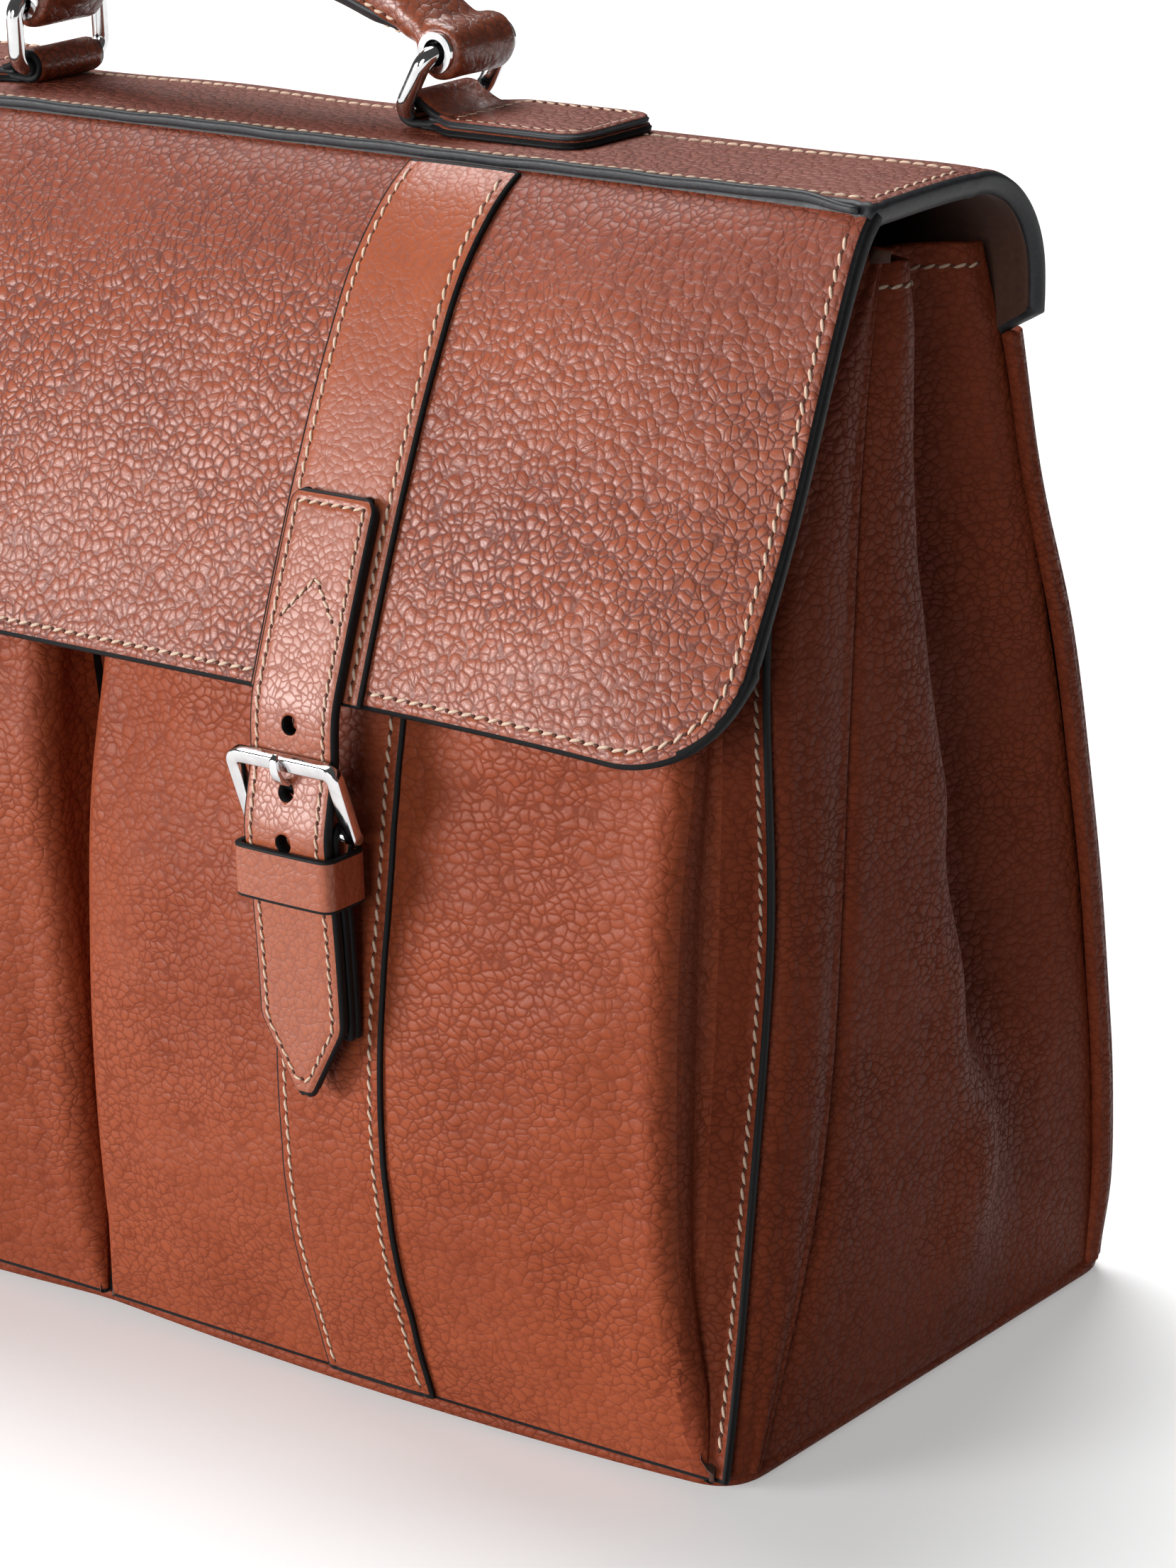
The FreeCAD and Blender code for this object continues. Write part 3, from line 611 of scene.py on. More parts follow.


# The flap leather darkens and dulls from 258 to 294 mm up: painted shade near the flap's top.
flap_leather = leather("flap_leather_look", (0.37, 0.088, 0.036), (0.225, 0.042, 0.015),
                       (0.12, 0.018, 0.006), pebble=2.35, depth=0.25, rough=0.36, coat=0.04,
                       crease_share=0.95, specular=0.55, painted_shade_heights=(258.0, 294.0))
body_leather = leather("body_leather_look", (0.35, 0.074, 0.027), (0.24, 0.044, 0.015),
                       (0.13, 0.021, 0.008), pebble=2.4, depth=0.20, crease_share=0.5,
                       stretch=(0.8, 0.8, 1.2), specular=0.17)
# A darker copy of the body leather for the sides, panels, base and pocket walls: painted shade.
shade_darkened_leather = leather("shade_darkened_leather_look", (0.27, 0.055, 0.022), (0.175, 0.033, 0.013),
                       (0.09, 0.016, 0.007), pebble=2.3, depth=0.19, rough=0.46, crease_share=0.4,
                       stretch=(0.8, 0.9, 1.2), specular=0.10)
strap_leather = leather("strap_leather_look", (0.39, 0.094, 0.036), (0.29, 0.062, 0.022),
                        (0.17, 0.032, 0.012), pebble=1.9, depth=0.065, rough=0.34, coat=0.06,
                        crease_share=0.45, specular=0.55)
handle_leather = leather("handle_leather_look", (0.28, 0.068, 0.030), (0.18, 0.038, 0.016),
                         (0.07, 0.015, 0.007), pebble=2.3, depth=0.13, rough=0.27, coat=0.25)
painted = grained("painted_edge_look", (0.006, 0.006, 0.007), (0.011, 0.011, 0.012), 0.55, 900.0, 0.05,
                  specular=0.12)
grey_paint = grained("grey_edge_look", (0.020, 0.021, 0.024), (0.032, 0.033, 0.036), 0.45, 900.0, 0.05,
                     specular=0.25)
# The lining is kept dark brown: painted shade for the dim inside of the bag and under the flap.
lining = grained("lining_look", (0.060, 0.022, 0.013), (0.085, 0.033, 0.019), 0.75, 700.0, 0.08,
                 sheen=0.1)
thread = grained("thread_look", (0.60, 0.42, 0.30), (0.78, 0.60, 0.46), 0.7, 2500.0, 0.12)
# Needle holes: a dark finish, painted shade in each hole.
painted_hole_shade = grained("needle_hole_look", (0.07, 0.020, 0.010), (0.10, 0.030, 0.015), 0.8, 900.0, 0.05)
chrome = polished("polished_metal_look")

# A sheet's outer face, edge and inner face; the pocket's fourth, the darker side leather, is for its
# walls and flanges, as painted shade.
FLAP_SET = [flap_leather, painted, lining]
TOP_SET = [flap_leather, grey_paint, lining]
# The bag's sides and panels take the darker side leather: painted shade.
SHADE_DARKENED_SET = [shade_darkened_leather, shade_darkened_leather, lining]
POCKET_SET = [body_leather, painted, lining, shade_darkened_leather]
BAND_SET = [strap_leather, painted, strap_leather]
BODY_BAND_SET = [body_leather, painted, body_leather]
HANDLE_SET = [handle_leather, painted, handle_leather]


def place(piece, body, slot, *nodes):
    """Put a piece on its body and hide the CAD nodes that it stands for; slot is not used."""
    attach(piece, body)
    if nodes:
        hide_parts(*nodes)
    return piece


# Bag body ---------------------------------------------------------------------------------------
def rounding(d, drop=0.7, width=1.1):
    """How far a leather face sinks close to its edge."""
    return -drop * np.exp(-((np.maximum(d, 0.0) / width) ** 1.5))


def groove(d, at, deep=0.34, width=0.85):
    """A line pressed into the leather at a distance from its edge."""
    return -deep * np.exp(-(((d - at) / width) ** 2))


def wrapped_panel(name, face_y, seam_y, outward, low, high, corner, side_steps):
    """A front or back panel whose two sides turn round the bag's corners to the side seams."""
    flat = span(-(BODY_HALF - corner), BODY_HALF - corner, 5.0, 1.5)
    turn = np.linspace(0, pi / 2, 9)[1:]
    side = np.linspace(0, 1, side_steps)[1:]
    grid = []
    for z in span(low, high, 4.0):
        half = BODY_HALF - 2.2 * (1 - smoothstep(4, 70, z))
        y = face_y(z)
        right = [(half - corner + corner * sin(a), y - outward * corner * (1 - cos(a))) for a in turn]
        turned_y = right[-1][1]
        right += [(half + 1.3 * sin(pi * s) + 0.9 * float(smoothstep(0.86, 1.0, s)),
                   turned_y + (seam_y(z) - turned_y) * s) for s in side]
        left = [(-x, y_side) for x, y_side in right[::-1]]
        middle = [(x, y) for x in flat * (half - corner) / (BODY_HALF - corner)]
        grid.append([(*point, z) for point in left + middle + right])
    grid = np.array(grid)
    soft = smoothstep(low, low + 20, grid[..., 2])
    grid += surface_normals(grid) * (waves(grid, 70, 3) * 0.7 * soft)[..., None]
    return sheet(name, grid, 3.0, SHADE_DARKENED_SET, (0, outward, 0))


def add_body_panels():
    front = wrapped_panel("front_panel", front_y, front_seam_y, -1, PANEL_LOW, 284, 7.0, 16)
    place(front, "bag", "body_leather", "main_front_panel")
    back = wrapped_panel("back_panel", back_y, back_seam_y, 1, PANEL_LOW, 254, 4.0, 6)
    place(back, "bag", "body_leather", "main_back_panel")
    for name, face_y, z in (("front_panel", front_y, 279.5), ("back_panel", back_y, 249.5)):
        stitch(name, [(x, face_y(z), z) for x in np.linspace(-190, 190, 200)], "bag")
    for x in (-194.5, 194.5):
        stitch("back_panel", [(x, back_y(z), z) for z in np.linspace(14, 246, 80)], "bag")


def gusset_grid(side):
    """Outer face of a side gusset: full at the front, folded inwards behind its crest."""
    levels = []
    for z, crest_y, depth in GUSSET:
        share = (z - 4.5) / 276.5
        back = float(back_seam_y(z - 4 * share)) + 0.5
        front = float(front_seam_y(z)) - 0.5
        lobe = crest_y - front
        line = [(198.0, front), (201.6, front + 0.08 * lobe), (203.2, front + 0.30 * lobe),
                (204.6, front + 0.66 * lobe), (203.6, crest_y - 0.5),
                (202.0 - 0.62 * depth, crest_y + 5.0), (202.0 - depth, crest_y + 13.0),
                (202.0 - 0.66 * depth, (crest_y + 13 + back) / 2), (200.0 - 0.15 * depth, back - 7.0),
                (199.0, back)]
        line = spline(line, 60)
        line[:, 0] = 199.0 + (line[:, 0] - 199.0) * (0.2 + 0.8 * float(smoothstep(4, 50, z)))
        drop = 4 * share * (line[:, 1] - front) / (back - front)
        levels.append(np.c_[line, z - drop])
    levels = np.array(levels)
    grid = np.stack([spline(levels[:, k], 90) for k in range(60)], 1)
    up = grid[..., 2]
    ripple = waves(grid, 26, 11, stretch=(1, 0.8, 1.3)) * 0.25 + waves(grid, 60, 12) * 0.8
    soft = smoothstep(4, 40, up) * smoothstep(290, 262, up)
    inner = np.sin(np.linspace(0, pi, 60))[None, :] ** 0.5
    grid[..., 0] += ripple * soft * inner
    grid[..., 0] *= side
    return grid


def add_gussets():
    for side, word in SIDES:
        grid = gusset_grid(side)
        name = "side_gusset_" + word
        piece = sheet(name, grid, 2.2, SHADE_DARKENED_SET, (side, 0, 0))
        place(piece, "bag", "body_leather", "gusset_" + word)
        hem = [grid[-1, k] - (grid[-1, k] - grid[-4, k]) * 0.55 for k in range(3, 57)]
        stitch(name, hem, "bag")
        stitch(name, [grid[r, 1] for r in range(3, 12)], "bag")


def corners_of(x, y_front, y_back):
    """Corners of a rectangle that reaches x to both sides."""
    return [(-x, y_front), (x, y_front), (x, y_back), (-x, y_back)]


def add_base():
    front = []
    for x in np.linspace(-186, 186, 60):
        bulge = max(0.0, 1 - ((abs(x) - 100) / 95.0) ** 2) if abs(x) > 6 else 0.0
        front.append((x, -80.0 - 4.2 * bulge))
    path = rounded_outline([(-199.6, -79.5)] + front[1:-1] + [(199.6, -79.5), (199.6, 85), (-199.6, 85)],
                           [12] + [0.5] * 58 + [12, 14, 14])
    base = plate("base", path, 1.4, 5.2, [shade_darkened_leather] * 3,
                 ((0.0, 0.5), (0.4, 0.15), (1.2, 0.0), (4.0, 0.0)))
    place(base, "bag", "body_leather", "base_panel")
    path = rounded_outline(corners_of(150, -75, 77), [14] * 4)
    patch = plate("base_patch_cover", path, 0.0, 1.6, [shade_darkened_leather, painted, shade_darkened_leather])
    place(patch, "bag", "body_leather", "base_patch")
    path = rounded_outline(corners_of(191, -73, 76), [14] * 4)
    floor = plate("inner_floor", path, 4.7, 7.2, [lining] * 3)
    place(floor, "bag", "stiffener", "base_board")


def add_linings():
    for word, face_y, outward, high in (("front", front_y, -1, 281.0), ("back", back_y, 1, 237.0)):
        x, z = np.meshgrid(np.linspace(-195, 195, 90), span(7.6, high, 6.0))
        grid = np.stack([x, face_y(z) - outward * 3.3, z], -1)
        grid[..., 1] -= outward * (0.5 + 0.5 * waves(grid, 60, 21)) * smoothstep(8, 40, z) * 0.9
        piece = sheet("inner_lining_" + word, grid, 0.9, [lining] * 3, (0, -outward, 0))
        place(piece, "bag", "lining_leather", "lining_" + word)


# Pockets ----------------------------------------------------------------------------------------
def pocket_front(x, z):
    """y of the pocket's front face at a distance x from the bag's middle."""
    side = pocket_side_y(z)
    middle = pocket_middle_y(z)
    bow = 1 - np.clip(np.abs(x - 101.5) / 92.0, 0, 1) ** 2.1
    return side + (middle - side) * bow


def pocket_path(z, inner_x):
    """Outer face of a pocket at one height, from its edge at the bag's middle outwards."""
    wall = float(front_y(z))
    base_x = 194.0
    outer_x = base_x - 4.6 * float(smoothstep(10, 60, z))
    deep = max(wall - float(pocket_side_y(z)), 1.0)
    r = min(7.5, deep * 0.7)
    points = [(inner_x + 1.0 * sin(pi * t), wall - 0.4 - (deep - r) * t) for t in np.linspace(0, 1, 8)]
    start_y = points[-1][1]
    corner_y = float(pocket_front(inner_x + r, z))
    for t in np.linspace(0, pi / 2, 9)[1:]:
        points.append((inner_x + r * (1 - cos(t)), start_y + (corner_y - start_y) * sin(t)))
    for share in span(0, 1, 0.023, 0.011, 0.034)[1:-1]:
        x = inner_x + r + (outer_x - inner_x - 2 * r) * share
        points.append((x, float(pocket_front(x, z))))
    corner_y = float(pocket_front(outer_x - r, z))
    end_y = wall - 1.9 - (deep - r) * 0.9
    for t in np.linspace(0, pi / 2, 9):
        points.append((outer_x - r + r * sin(t), end_y + (corner_y - end_y) * cos(t)))
    pinch = 2.2 * float(smoothstep(5, 40, z))
    for t in np.linspace(0, 1, 9)[1:]:
        x = outer_x + (base_x - outer_x) * t**1.6
        points.append((x - pinch * sin(pi * t) ** 1.5, end_y + (wall - 3.0 - end_y) * t))
    points += [(base_x + 0.5, wall - 2.1), (base_x + 1.5, wall - 1.9), (base_x + 2.6, wall - 1.85),
               (base_x + 3.6, wall - 1.9), (base_x + 4.2, wall - 1.95)]
    return points


def pocket_grid(side):
    """Outer face of a pocket, puffed a little between its edges and the band on it."""
    zs = np.r_[4.8, 5.6, 6.6, 8.0, 10.0, span(12.0, 207.0, 3.0)]
    inner_x = np.interp(zs, [5, 82, 175], [5.0, 6.5, 9.0] if side > 0 else [-3.2, -1.8, 9.0])
    grid = np.array([[(x, y, z) for x, y in pocket_path(z, start)] for z, start in zip(zs, inner_x)])
    x, z = grid[..., 0], grid[..., 2]
    inside = smoothstep(6, 30, z) * smoothstep(9, 24, x) * smoothstep(188, 176, x)
    puff = waves(grid, 62, 31) * 0.9 + waves(grid, 24, 32, stretch=(1, 1, 1.6)) * 0.35
    near_band = smoothstep(14, 24, np.abs(x - STRAP_X))
    grid[..., 1] -= puff * inside * (0.35 + 0.65 * near_band)
    grid[..., 0] *= side
    return grid


def add_pockets():
    for side, word in SIDES:
        grid = pocket_grid(side)
        name = "pocket_shell_" + word
        # Pocket walls and flanges take the darker side leather, as painted shade; the rim takes edge
        # paint.
        slots_with_painted_wall_shade = np.where(np.abs(grid[:-1, :-1, 0]) > 188.8, 3, 0)
        slots_with_painted_wall_shade[:, [0, -1]] = 1
        slots_with_painted_wall_shade[[0, -1]] = 1
        piece = sheet(name, grid, 2.0, POCKET_SET, (0, -1, 0), paint=slots_with_painted_wall_shade)
        place(piece, "bag", "body_leather", "pocket_" + word, "pocket_flange_" + word)
        stitch(name, [(side * 195.9, front_y(z) - 1.9, z) for z in np.linspace(12, 204, 90)], "bag")
        stitch(name, [(side * x, pocket_front(x, 202.5), 202.5) for x in np.linspace(20, 184, 90)], "bag")
        add_pocket_band(side, word, name)


def add_pocket_band(side, word, pocket):
    """The strip of leather that runs up the pocket's face, laid on it."""
    us = span(-BAND_HALF, BAND_HALF, 2.5, 0.7, 4.0)
    zs = np.r_[5.2, 6.4, 8.0, span(10.0, 206.0, 3.0)]
    tree = fronts[pocket]
    grid = np.empty((len(zs), len(us), 3))
    for i, z in enumerate(zs):
        for j, u in enumerate(us):
            hit, normal, _, _ = tree.ray_cast(Vector((side * (STRAP_X + u), -200, z)), Vector((0, 1, 0)))
            y = hit.y if hit else float(pocket_front(STRAP_X + u, z))
            edge = BAND_HALF - abs(u)
            lift = 1.9 + rounding(edge) + groove(edge, SEAM_INSET)
            grid[i, j] = (side * (STRAP_X + u), y - lift, z)
    name = "pocket_strip_" + word
    piece = sheet(name, grid, 1.75, BODY_BAND_SET, (0, -1, 0))
    place(piece, "bag", "body_leather", "pocket_band_" + word)
    for edge in (-1, 1):
        x = side * STRAP_X + edge * (BAND_HALF - SEAM_INSET)
        row = [(x, float(pocket_front(abs(x), z)) - 2.2, z) for z in np.linspace(8, 203, 90)]
        stitch(name, row, "bag")


# Flap -------------------------------------------------------------------------------------------
middle_line = spline(FLAP_MIDDLE, 240)
end_line = spline(FLAP_END, 240)
middle_length = run_length(middle_line)[-1]
end_length = run_length(end_line)[-1]
LAST = len(middle_line) - 1


def lengthened(line):
    """The line with a straight run-on past its end, so that offsets stay true at the edge."""
    return np.vstack([line, line[-1] + (line[-1] - line[-2]) * np.arange(1, 25)[:, None]])


middle_line = lengthened(middle_line)
end_line = lengthened(end_line)
share_line = spline([(0, 0), (60, 0), (120, 0.02), (160, 0.2), (190, 0.58), (210, 1)], 100)


def flap_share(x):
    """0 where the flap hangs as in its middle, 1 at its ends."""
    return np.interp(np.abs(x), share_line[:, 0], np.clip(share_line[:, 1], 0, 1))


def flap_length(x):
    return middle_length + (end_length - middle_length) * flap_share(x)


def flap_point(x, b):
    """The flap's outer face at x along the bag and b down the leather from the ridge."""
    x = np.asarray(x, float)
    share = flap_share(x)
    q = b / flap_length(x) * LAST
    k = np.arange(len(middle_line))
    y0, z0 = (np.interp(q, k, middle_line[:, i]) for i in (0, 1))
    y1, z1 = (np.interp(q, k, end_line[:, i]) for i in (0, 1))
    return np.stack([x, y0 + (y1 - y0) * share, z0 + (z1 - z0) * share], -1)


def flap_edge_distance(x, b):
    """How far a point of the flap is from its ends and its lower edge."""
    across = FLAP_HALF - np.abs(x)
    down = flap_length(x) - b
    past = [np.maximum(FLAP_CORNER - d, 0) for d in (across, down)]
    in_corner = (across < FLAP_CORNER) & (down < FLAP_CORNER)
    return np.where(in_corner, FLAP_CORNER - np.hypot(*past), np.minimum(across, down))


def flap_limit(x):
    """How far down the leather reaches at x, with the round lower corners taken off."""
    over = np.maximum(np.abs(x) - (FLAP_HALF - FLAP_CORNER), 0)
    return flap_length(x) - (FLAP_CORNER - np.sqrt(np.maximum(FLAP_CORNER**2 - over**2, 0)))


def flap_surface(x, b, lift=0.0):
    """Flap points with an offset along the outward normal."""
    p = flap_point(x, b)
    du = flap_point(x + 0.5, b) - flap_point(x - 0.5, b)
    dv = flap_point(x, b + 0.5) - flap_point(x, b - 0.5)
    n = unit(np.cross(dv, du))
    n *= -np.sign((n * np.array([0, 0.8, -0.6])).sum(-1))[..., None]
    return p + n * np.asarray(lift)[..., None]


def add_flap_front():
    bend = FLAP_HALF - FLAP_CORNER
    turn = bend + FLAP_CORNER * np.sin(np.linspace(0, pi / 2, 26))
    flat = np.linspace(-bend, bend, 140)
    xs = np.r_[-turn[::-1], flat[1:-1], turn]
    ws = np.r_[np.linspace(0, 0.9, 60), np.linspace(0.9, 1.0, 18)[1:]]
    x = np.repeat(xs[:, None], len(ws), 1)
    b = flap_limit(xs)[:, None] * ws[None, :]
    d = flap_edge_distance(x, b)
    p = flap_point(x, b)
    soft = smoothstep(3, 26, d) * smoothstep(2, 14, b)
    clear = smoothstep(18, 34, np.abs(np.abs(x) - STRAP_X)) * 0.75 + 0.25
    lift = (waves(p, 85, 41) * 0.7 + waves(p, 30, 42) * 0.22) * soft * clear
    lift = lift + rounding(d, 1.0) + groove(d, FLAP_SEAM_INSET) - 0.8 * np.exp(-((b / 4.0) ** 2))
    grid = flap_surface(x, b, lift)
    middle_d = (d[1:, 1:] + d[:-1, :-1] + d[1:, :-1] + d[:-1, 1:]) / 4
    piece = sheet("flap_panel", grid, FLAP_THICK, FLAP_SET, (0, -0.8, 0.6), paint=middle_d < 0.9)
    place(piece, "flap", "flap_leather", "flap_front")
    stitch_flap()


def stitch_flap():
    """A row round each end of the flap as far as the strap's band, and one between the two bands."""
    bend = FLAP_HALF - FLAP_CORNER
    r = FLAP_CORNER - FLAP_SEAM_INSET
    near_band = BAND_HALF + 1.0
    end = [(FLAP_HALF - FLAP_SEAM_INSET, b) for b in np.linspace(7, end_length - FLAP_CORNER, 30)]
    end += [(x, flap_length(x) - FLAP_CORNER + y) for x, y in arc((bend, 0), (r, r), 0, pi / 2, 14)]
    outer = np.linspace(bend, STRAP_X + near_band, 30)[1:]
    end += [(x, flap_length(x) - FLAP_SEAM_INSET) for x in outer]
    for side in (-1, 1):
        stitch("flap_panel", flap_point(*np.array([(side * x, b) for x, b in end]).T), "flap")
    inner = np.linspace(STRAP_X - near_band, -STRAP_X + near_band, 60)
    stitch("flap_panel", flap_point(inner, flap_length(inner) - FLAP_SEAM_INSET), "flap")


def add_ridge():
    """The bead of edge paint along the seam where the flap's front meets its top."""
    xs = np.linspace(-207.5, 207.5, 220)
    end = smoothstep(192, 207.5, np.abs(xs))
    path = np.stack([xs, -33.4 - 1.2 * end, 297.85 - 1.3 * end], 1)
    path[:, 2] += 0.12 * np.sin(xs / 9.0) + 0.1 * np.sin(xs / 3.7 + 1)
    sizes = np.array(round_section(1.15, 1.25, 0.9)) * (1 - 0.25 * end)[:, None, None]
    ridge = sweep("seam_ridge", path, sizes, (0, 1, 0), [grey_paint])
    place(ridge, "flap", "painted_edge", "top_ridge")


def top_path():
    """(y, z) of the outer face from the ridge over the top, round the back and down to the tail."""
    flat = [(-32.6, 298.0), (-24, 298.15), (-10, 298.3), (2, 298.2), (9.5, 297.9)]
    roll = arc((9.5, 269.4), (28.5, 28.5), pi / 2 - 0.18, 0, 14)
    tail = [(37.9, 264.0), (37.6, 259.0), (38.2, 254.5), (40.6, 249.0), (float(back_y(243)) - 3.3, 243.0),
            (float(back_y(238)) - 3.3, 238.5)]
    return spline(flat + roll + tail, 90)


def add_flap_top():
    line = top_path()
    d = run_length(line)
    half = np.interp(line[:, 1], [253.5, 256.5, 260.0], [197.5, 203.0, FLAP_HALF])
    half = np.where(d < 60, FLAP_HALF, half)
    us = span(-1, 1, 0.022, 0.004, 0.03)
    x = half[:, None] * us[None, :]
    y = np.repeat(line[:, :1], len(us), 1)
    z = np.repeat(line[:, 1:], len(us), 1)
    grid = np.stack([x, y, z], -1)
    edge = np.minimum(half[:, None] - np.abs(x), 30) + 0 * y
    soft = smoothstep(3, 16, edge) * smoothstep(2, 12, d)[:, None] * smoothstep(262, 272, z)
    lift = waves(grid, 60, 51) * 0.45 * soft + rounding(edge, 0.8)
    lift = lift + groove(edge, FLAP_SEAM_INSET) * (z > 262)
    lift = lift + groove(d, FLAP_SEAM_INSET)[:, None] + groove(d, 41.0, 0.25)[:, None]
    n = offset_line(line, 1.0) - line
    n *= np.sign(n[5, 1])
    grid[..., 1] += lift * n[:, :1]
    grid[..., 2] += lift * n[:, 1:]
    thick = np.interp(d, [0, 42, 60, 100, d[-1]], [6.2, 6.0, 4.8, 4.4, 3.0])
    thick = np.repeat(thick[:, None], len(us), 1)
    piece = sheet("flap_top_and_back", grid, thick, TOP_SET, (0, 0.7, 0.7))
    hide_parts("top_panel", "top_board", "top_lining", "flap_back", "flap_tail")
    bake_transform(piece)
    name = "flap_top_and_back"
    for y in (-28.6, 8.2):
        stitch(name, [(v, y, 298.2) for v in np.linspace(-204, 204, 200)], "flap")
    for side in (-1, 1):
        stitch(name, [(side * 206.4, v, 298.2) for v in np.linspace(-27, 6, 30)], "flap")


def add_flap_bands():
    us = span(-BAND_HALF, BAND_HALF, 2.5, 0.7, 4.0)
    length = float(flap_length(STRAP_X))
    bs = span(3.2, length + 0.5, 2.5)
    for side, word in SIDES:
        x = side * (STRAP_X + us[None, :] + 0 * bs[:, None])
        b = np.minimum(bs[:, None] + 0 * x, length - 0.01)
        edge = BAND_HALF - np.abs(us[None, :]) + 0 * x
        lift = 1.9 + rounding(edge) + groove(edge, SEAM_INSET) - 0.8 * np.exp(-((b / 7.0) ** 2))
        grid = flap_surface(x, b, lift)
        name = "flap_strip_" + word
        piece = sheet(name, grid, 1.75, BAND_SET, (0, -0.8, 0.6))
        place(piece, "flap", "strap_leather", "flap_band_" + word)
        for edge_side in (-1, 1):
            v = side * STRAP_X + edge_side * (BAND_HALF - SEAM_INSET)
            row = flap_surface(np.full(60, v), np.linspace(7, length - 1.5, 60), np.full(60, 1.9))
            stitch(name, row, "flap")


# Straps, keepers and buckles --------------------------------------------------------------------
def strap_line():
    """(y, z) of the strap's front face, from its sewn top end to its tip."""
    upper = offset_line(middle_line[:LAST + 1], 5.85)
    upper = upper[(upper[:, 1] <= 229.5) & (upper[:, 1] >= 187)]
    return spline([tuple(p) for p in upper[::6]] + STRAP_HANG, 150)


def strap_width(d, total):
    """Half width of the strap at distance d from its top end: round top corners and a pointed tip."""
    r = 3.4
    top = STRAP_HALF - (r - np.sqrt(np.maximum(r**2 - np.maximum(r - d, 0) ** 2, 0)))
    left = total - d
    tip = np.interp(left, [0, 0.5, 1.5, 17.0, 19.0], [1.0, 1.9, 2.9, 12.0, STRAP_HALF])
    return np.minimum(top, tip)


def add_straps():
    line = strap_line()
    total = run_length(line)[-1]
    tip = 20
    d = np.r_[np.linspace(0, 4, 9), np.arange(5, total - tip, 1.4), np.linspace(total - tip, total, 22)]
    d = np.unique(d)
    middle = points_at(line, run_length(line), d)
    n = offset_line(middle, 1.0) - middle
    ws = np.r_[-1, -0.96, -0.9, -0.83, -0.76, np.linspace(-0.68, 0.68, 15), 0.76, 0.83, 0.9, 0.96, 1]
    half = strap_width(d, total)
    u = half[:, None] * ws[None, :]
    edge = np.minimum(half[:, None] - np.abs(u), np.minimum(d, total - d)[:, None])
    lift = rounding(edge, 0.75, 1.0) + groove(edge, STRAP_SEAM_INSET, 0.3)
    stops = np.linspace(2.6, total - 4.2, 120)
    seam_half = np.interp(stops, d, half - STRAP_SEAM_INSET)
    seam_at = points_at(middle, d, stops)
    chevron = [(-7.6, 202.0), (0.6, 211.0), (7.6, 202.5)]
    for side, word in SIDES:
        x = side * STRAP_X
        grid = np.stack([x + u, middle[:, :1] + lift * n[:, :1], middle[:, 1:] + lift * n[:, 1:]], -1)
        name = "strap_" + word + "_leather"
        piece = sheet(name, grid, STRAP_THICK, BAND_SET, (0, -0.9, 0.3))
        cut_holes(piece, *[round_cutter((x, -105, z), 2.35, 20, BAND_SET) for z in STRAP_HOLES])
        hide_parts("strap_upper_" + word, "strap_lower_" + word)
        blend_strap(piece)
        row = [(x + w, y, z) for w, (y, z) in zip(seam_half, seam_at)]
        row += [(x - w, y, z) for w, (y, z) in zip(seam_half, seam_at)][::-1]
        key = "strap_" + word + "_flex"
        stitch(name, row, key, closed=True, pitch=3.3, radius=0.38)
        points = [(x + v, np.interp(z, middle[::-1, 1], middle[::-1, 0]), z) for v, z in chevron]
        stitch(name, points, key, pitch=3.0, radius=0.38)
        add_chape(x, word)
        add_keeper(x, word)
        add_buckle(x, word)


def blend_strap(piece):
    """Bake the piece's transform into its mesh."""
    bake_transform(piece)


def add_chape(x, word):
    """The leather leaf that folds round the buckle's bar, with a slot for the tongue."""
    hang = np.array(STRAP_HANG)[::-1]
    front = [(np.interp(z, hang[:, 1], hang[:, 0]) + 4.0, z) for z in (103, 112, 121, 130, 138, 143)]
    rear = [(y + 4.1, z) for y, z in front[::-1]]
    line = spline(front + arc((BAR_Y, BAR_Z), (3.65, 3.65), pi, 0, 13) + rear, 120)
    us = span(-12, 12, 2.5, 0.7, 3.0)
    grid = np.array([[(x + u, y, z) for u in us] for y, z in line])
    name = "buckle_leaf_" + word
    piece = sheet(name, grid, 1.95, BAND_SET, (0, 0, 1))
    path = bar_path((x, BAR_Y, BAR_Z + 3.4), (0, 1, 0), 16)
    slot = sweep("slot", path, round_section(2.3, 6.2, 1.5), (1, 0, 0), BAND_SET)
    cut_holes(piece, in_slot(slot, 1))
    place(piece, "strap_" + word, "strap_leather", "chape_" + word)


def add_keeper(x, word):
    """The loop that slides on the strap, bowed a little over it."""
    half = 14.9
    outline = rounded_outline(corners_of(half, -112.6, -98.2), [3.4] * 4, 1.0) + np.array([x, 0])
    zs = np.array([136.8, 137.3, 138.1, 139.5, 141.5, 143.0, 144.5, 146.5, 147.9, 148.7, 149.2])
    grid = np.array([[(px, py, z) for z in zs] for px, py in outline])
    grid[..., 1] -= np.where(grid[..., 1] < -108, 0.35 * np.cos((grid[..., 0] - x) / half * pi / 2), 0.0)
    outward = (grid[len(outline) // 2, len(zs) // 2] - np.array([x, -105.4, 0])) * (1, 1, 0)
    piece = sheet("keeper_loop_" + word, grid, 1.6, BAND_SET, outward, around=True)
    place(piece, "keeper_" + word, "strap_leather", "keeper_" + word)


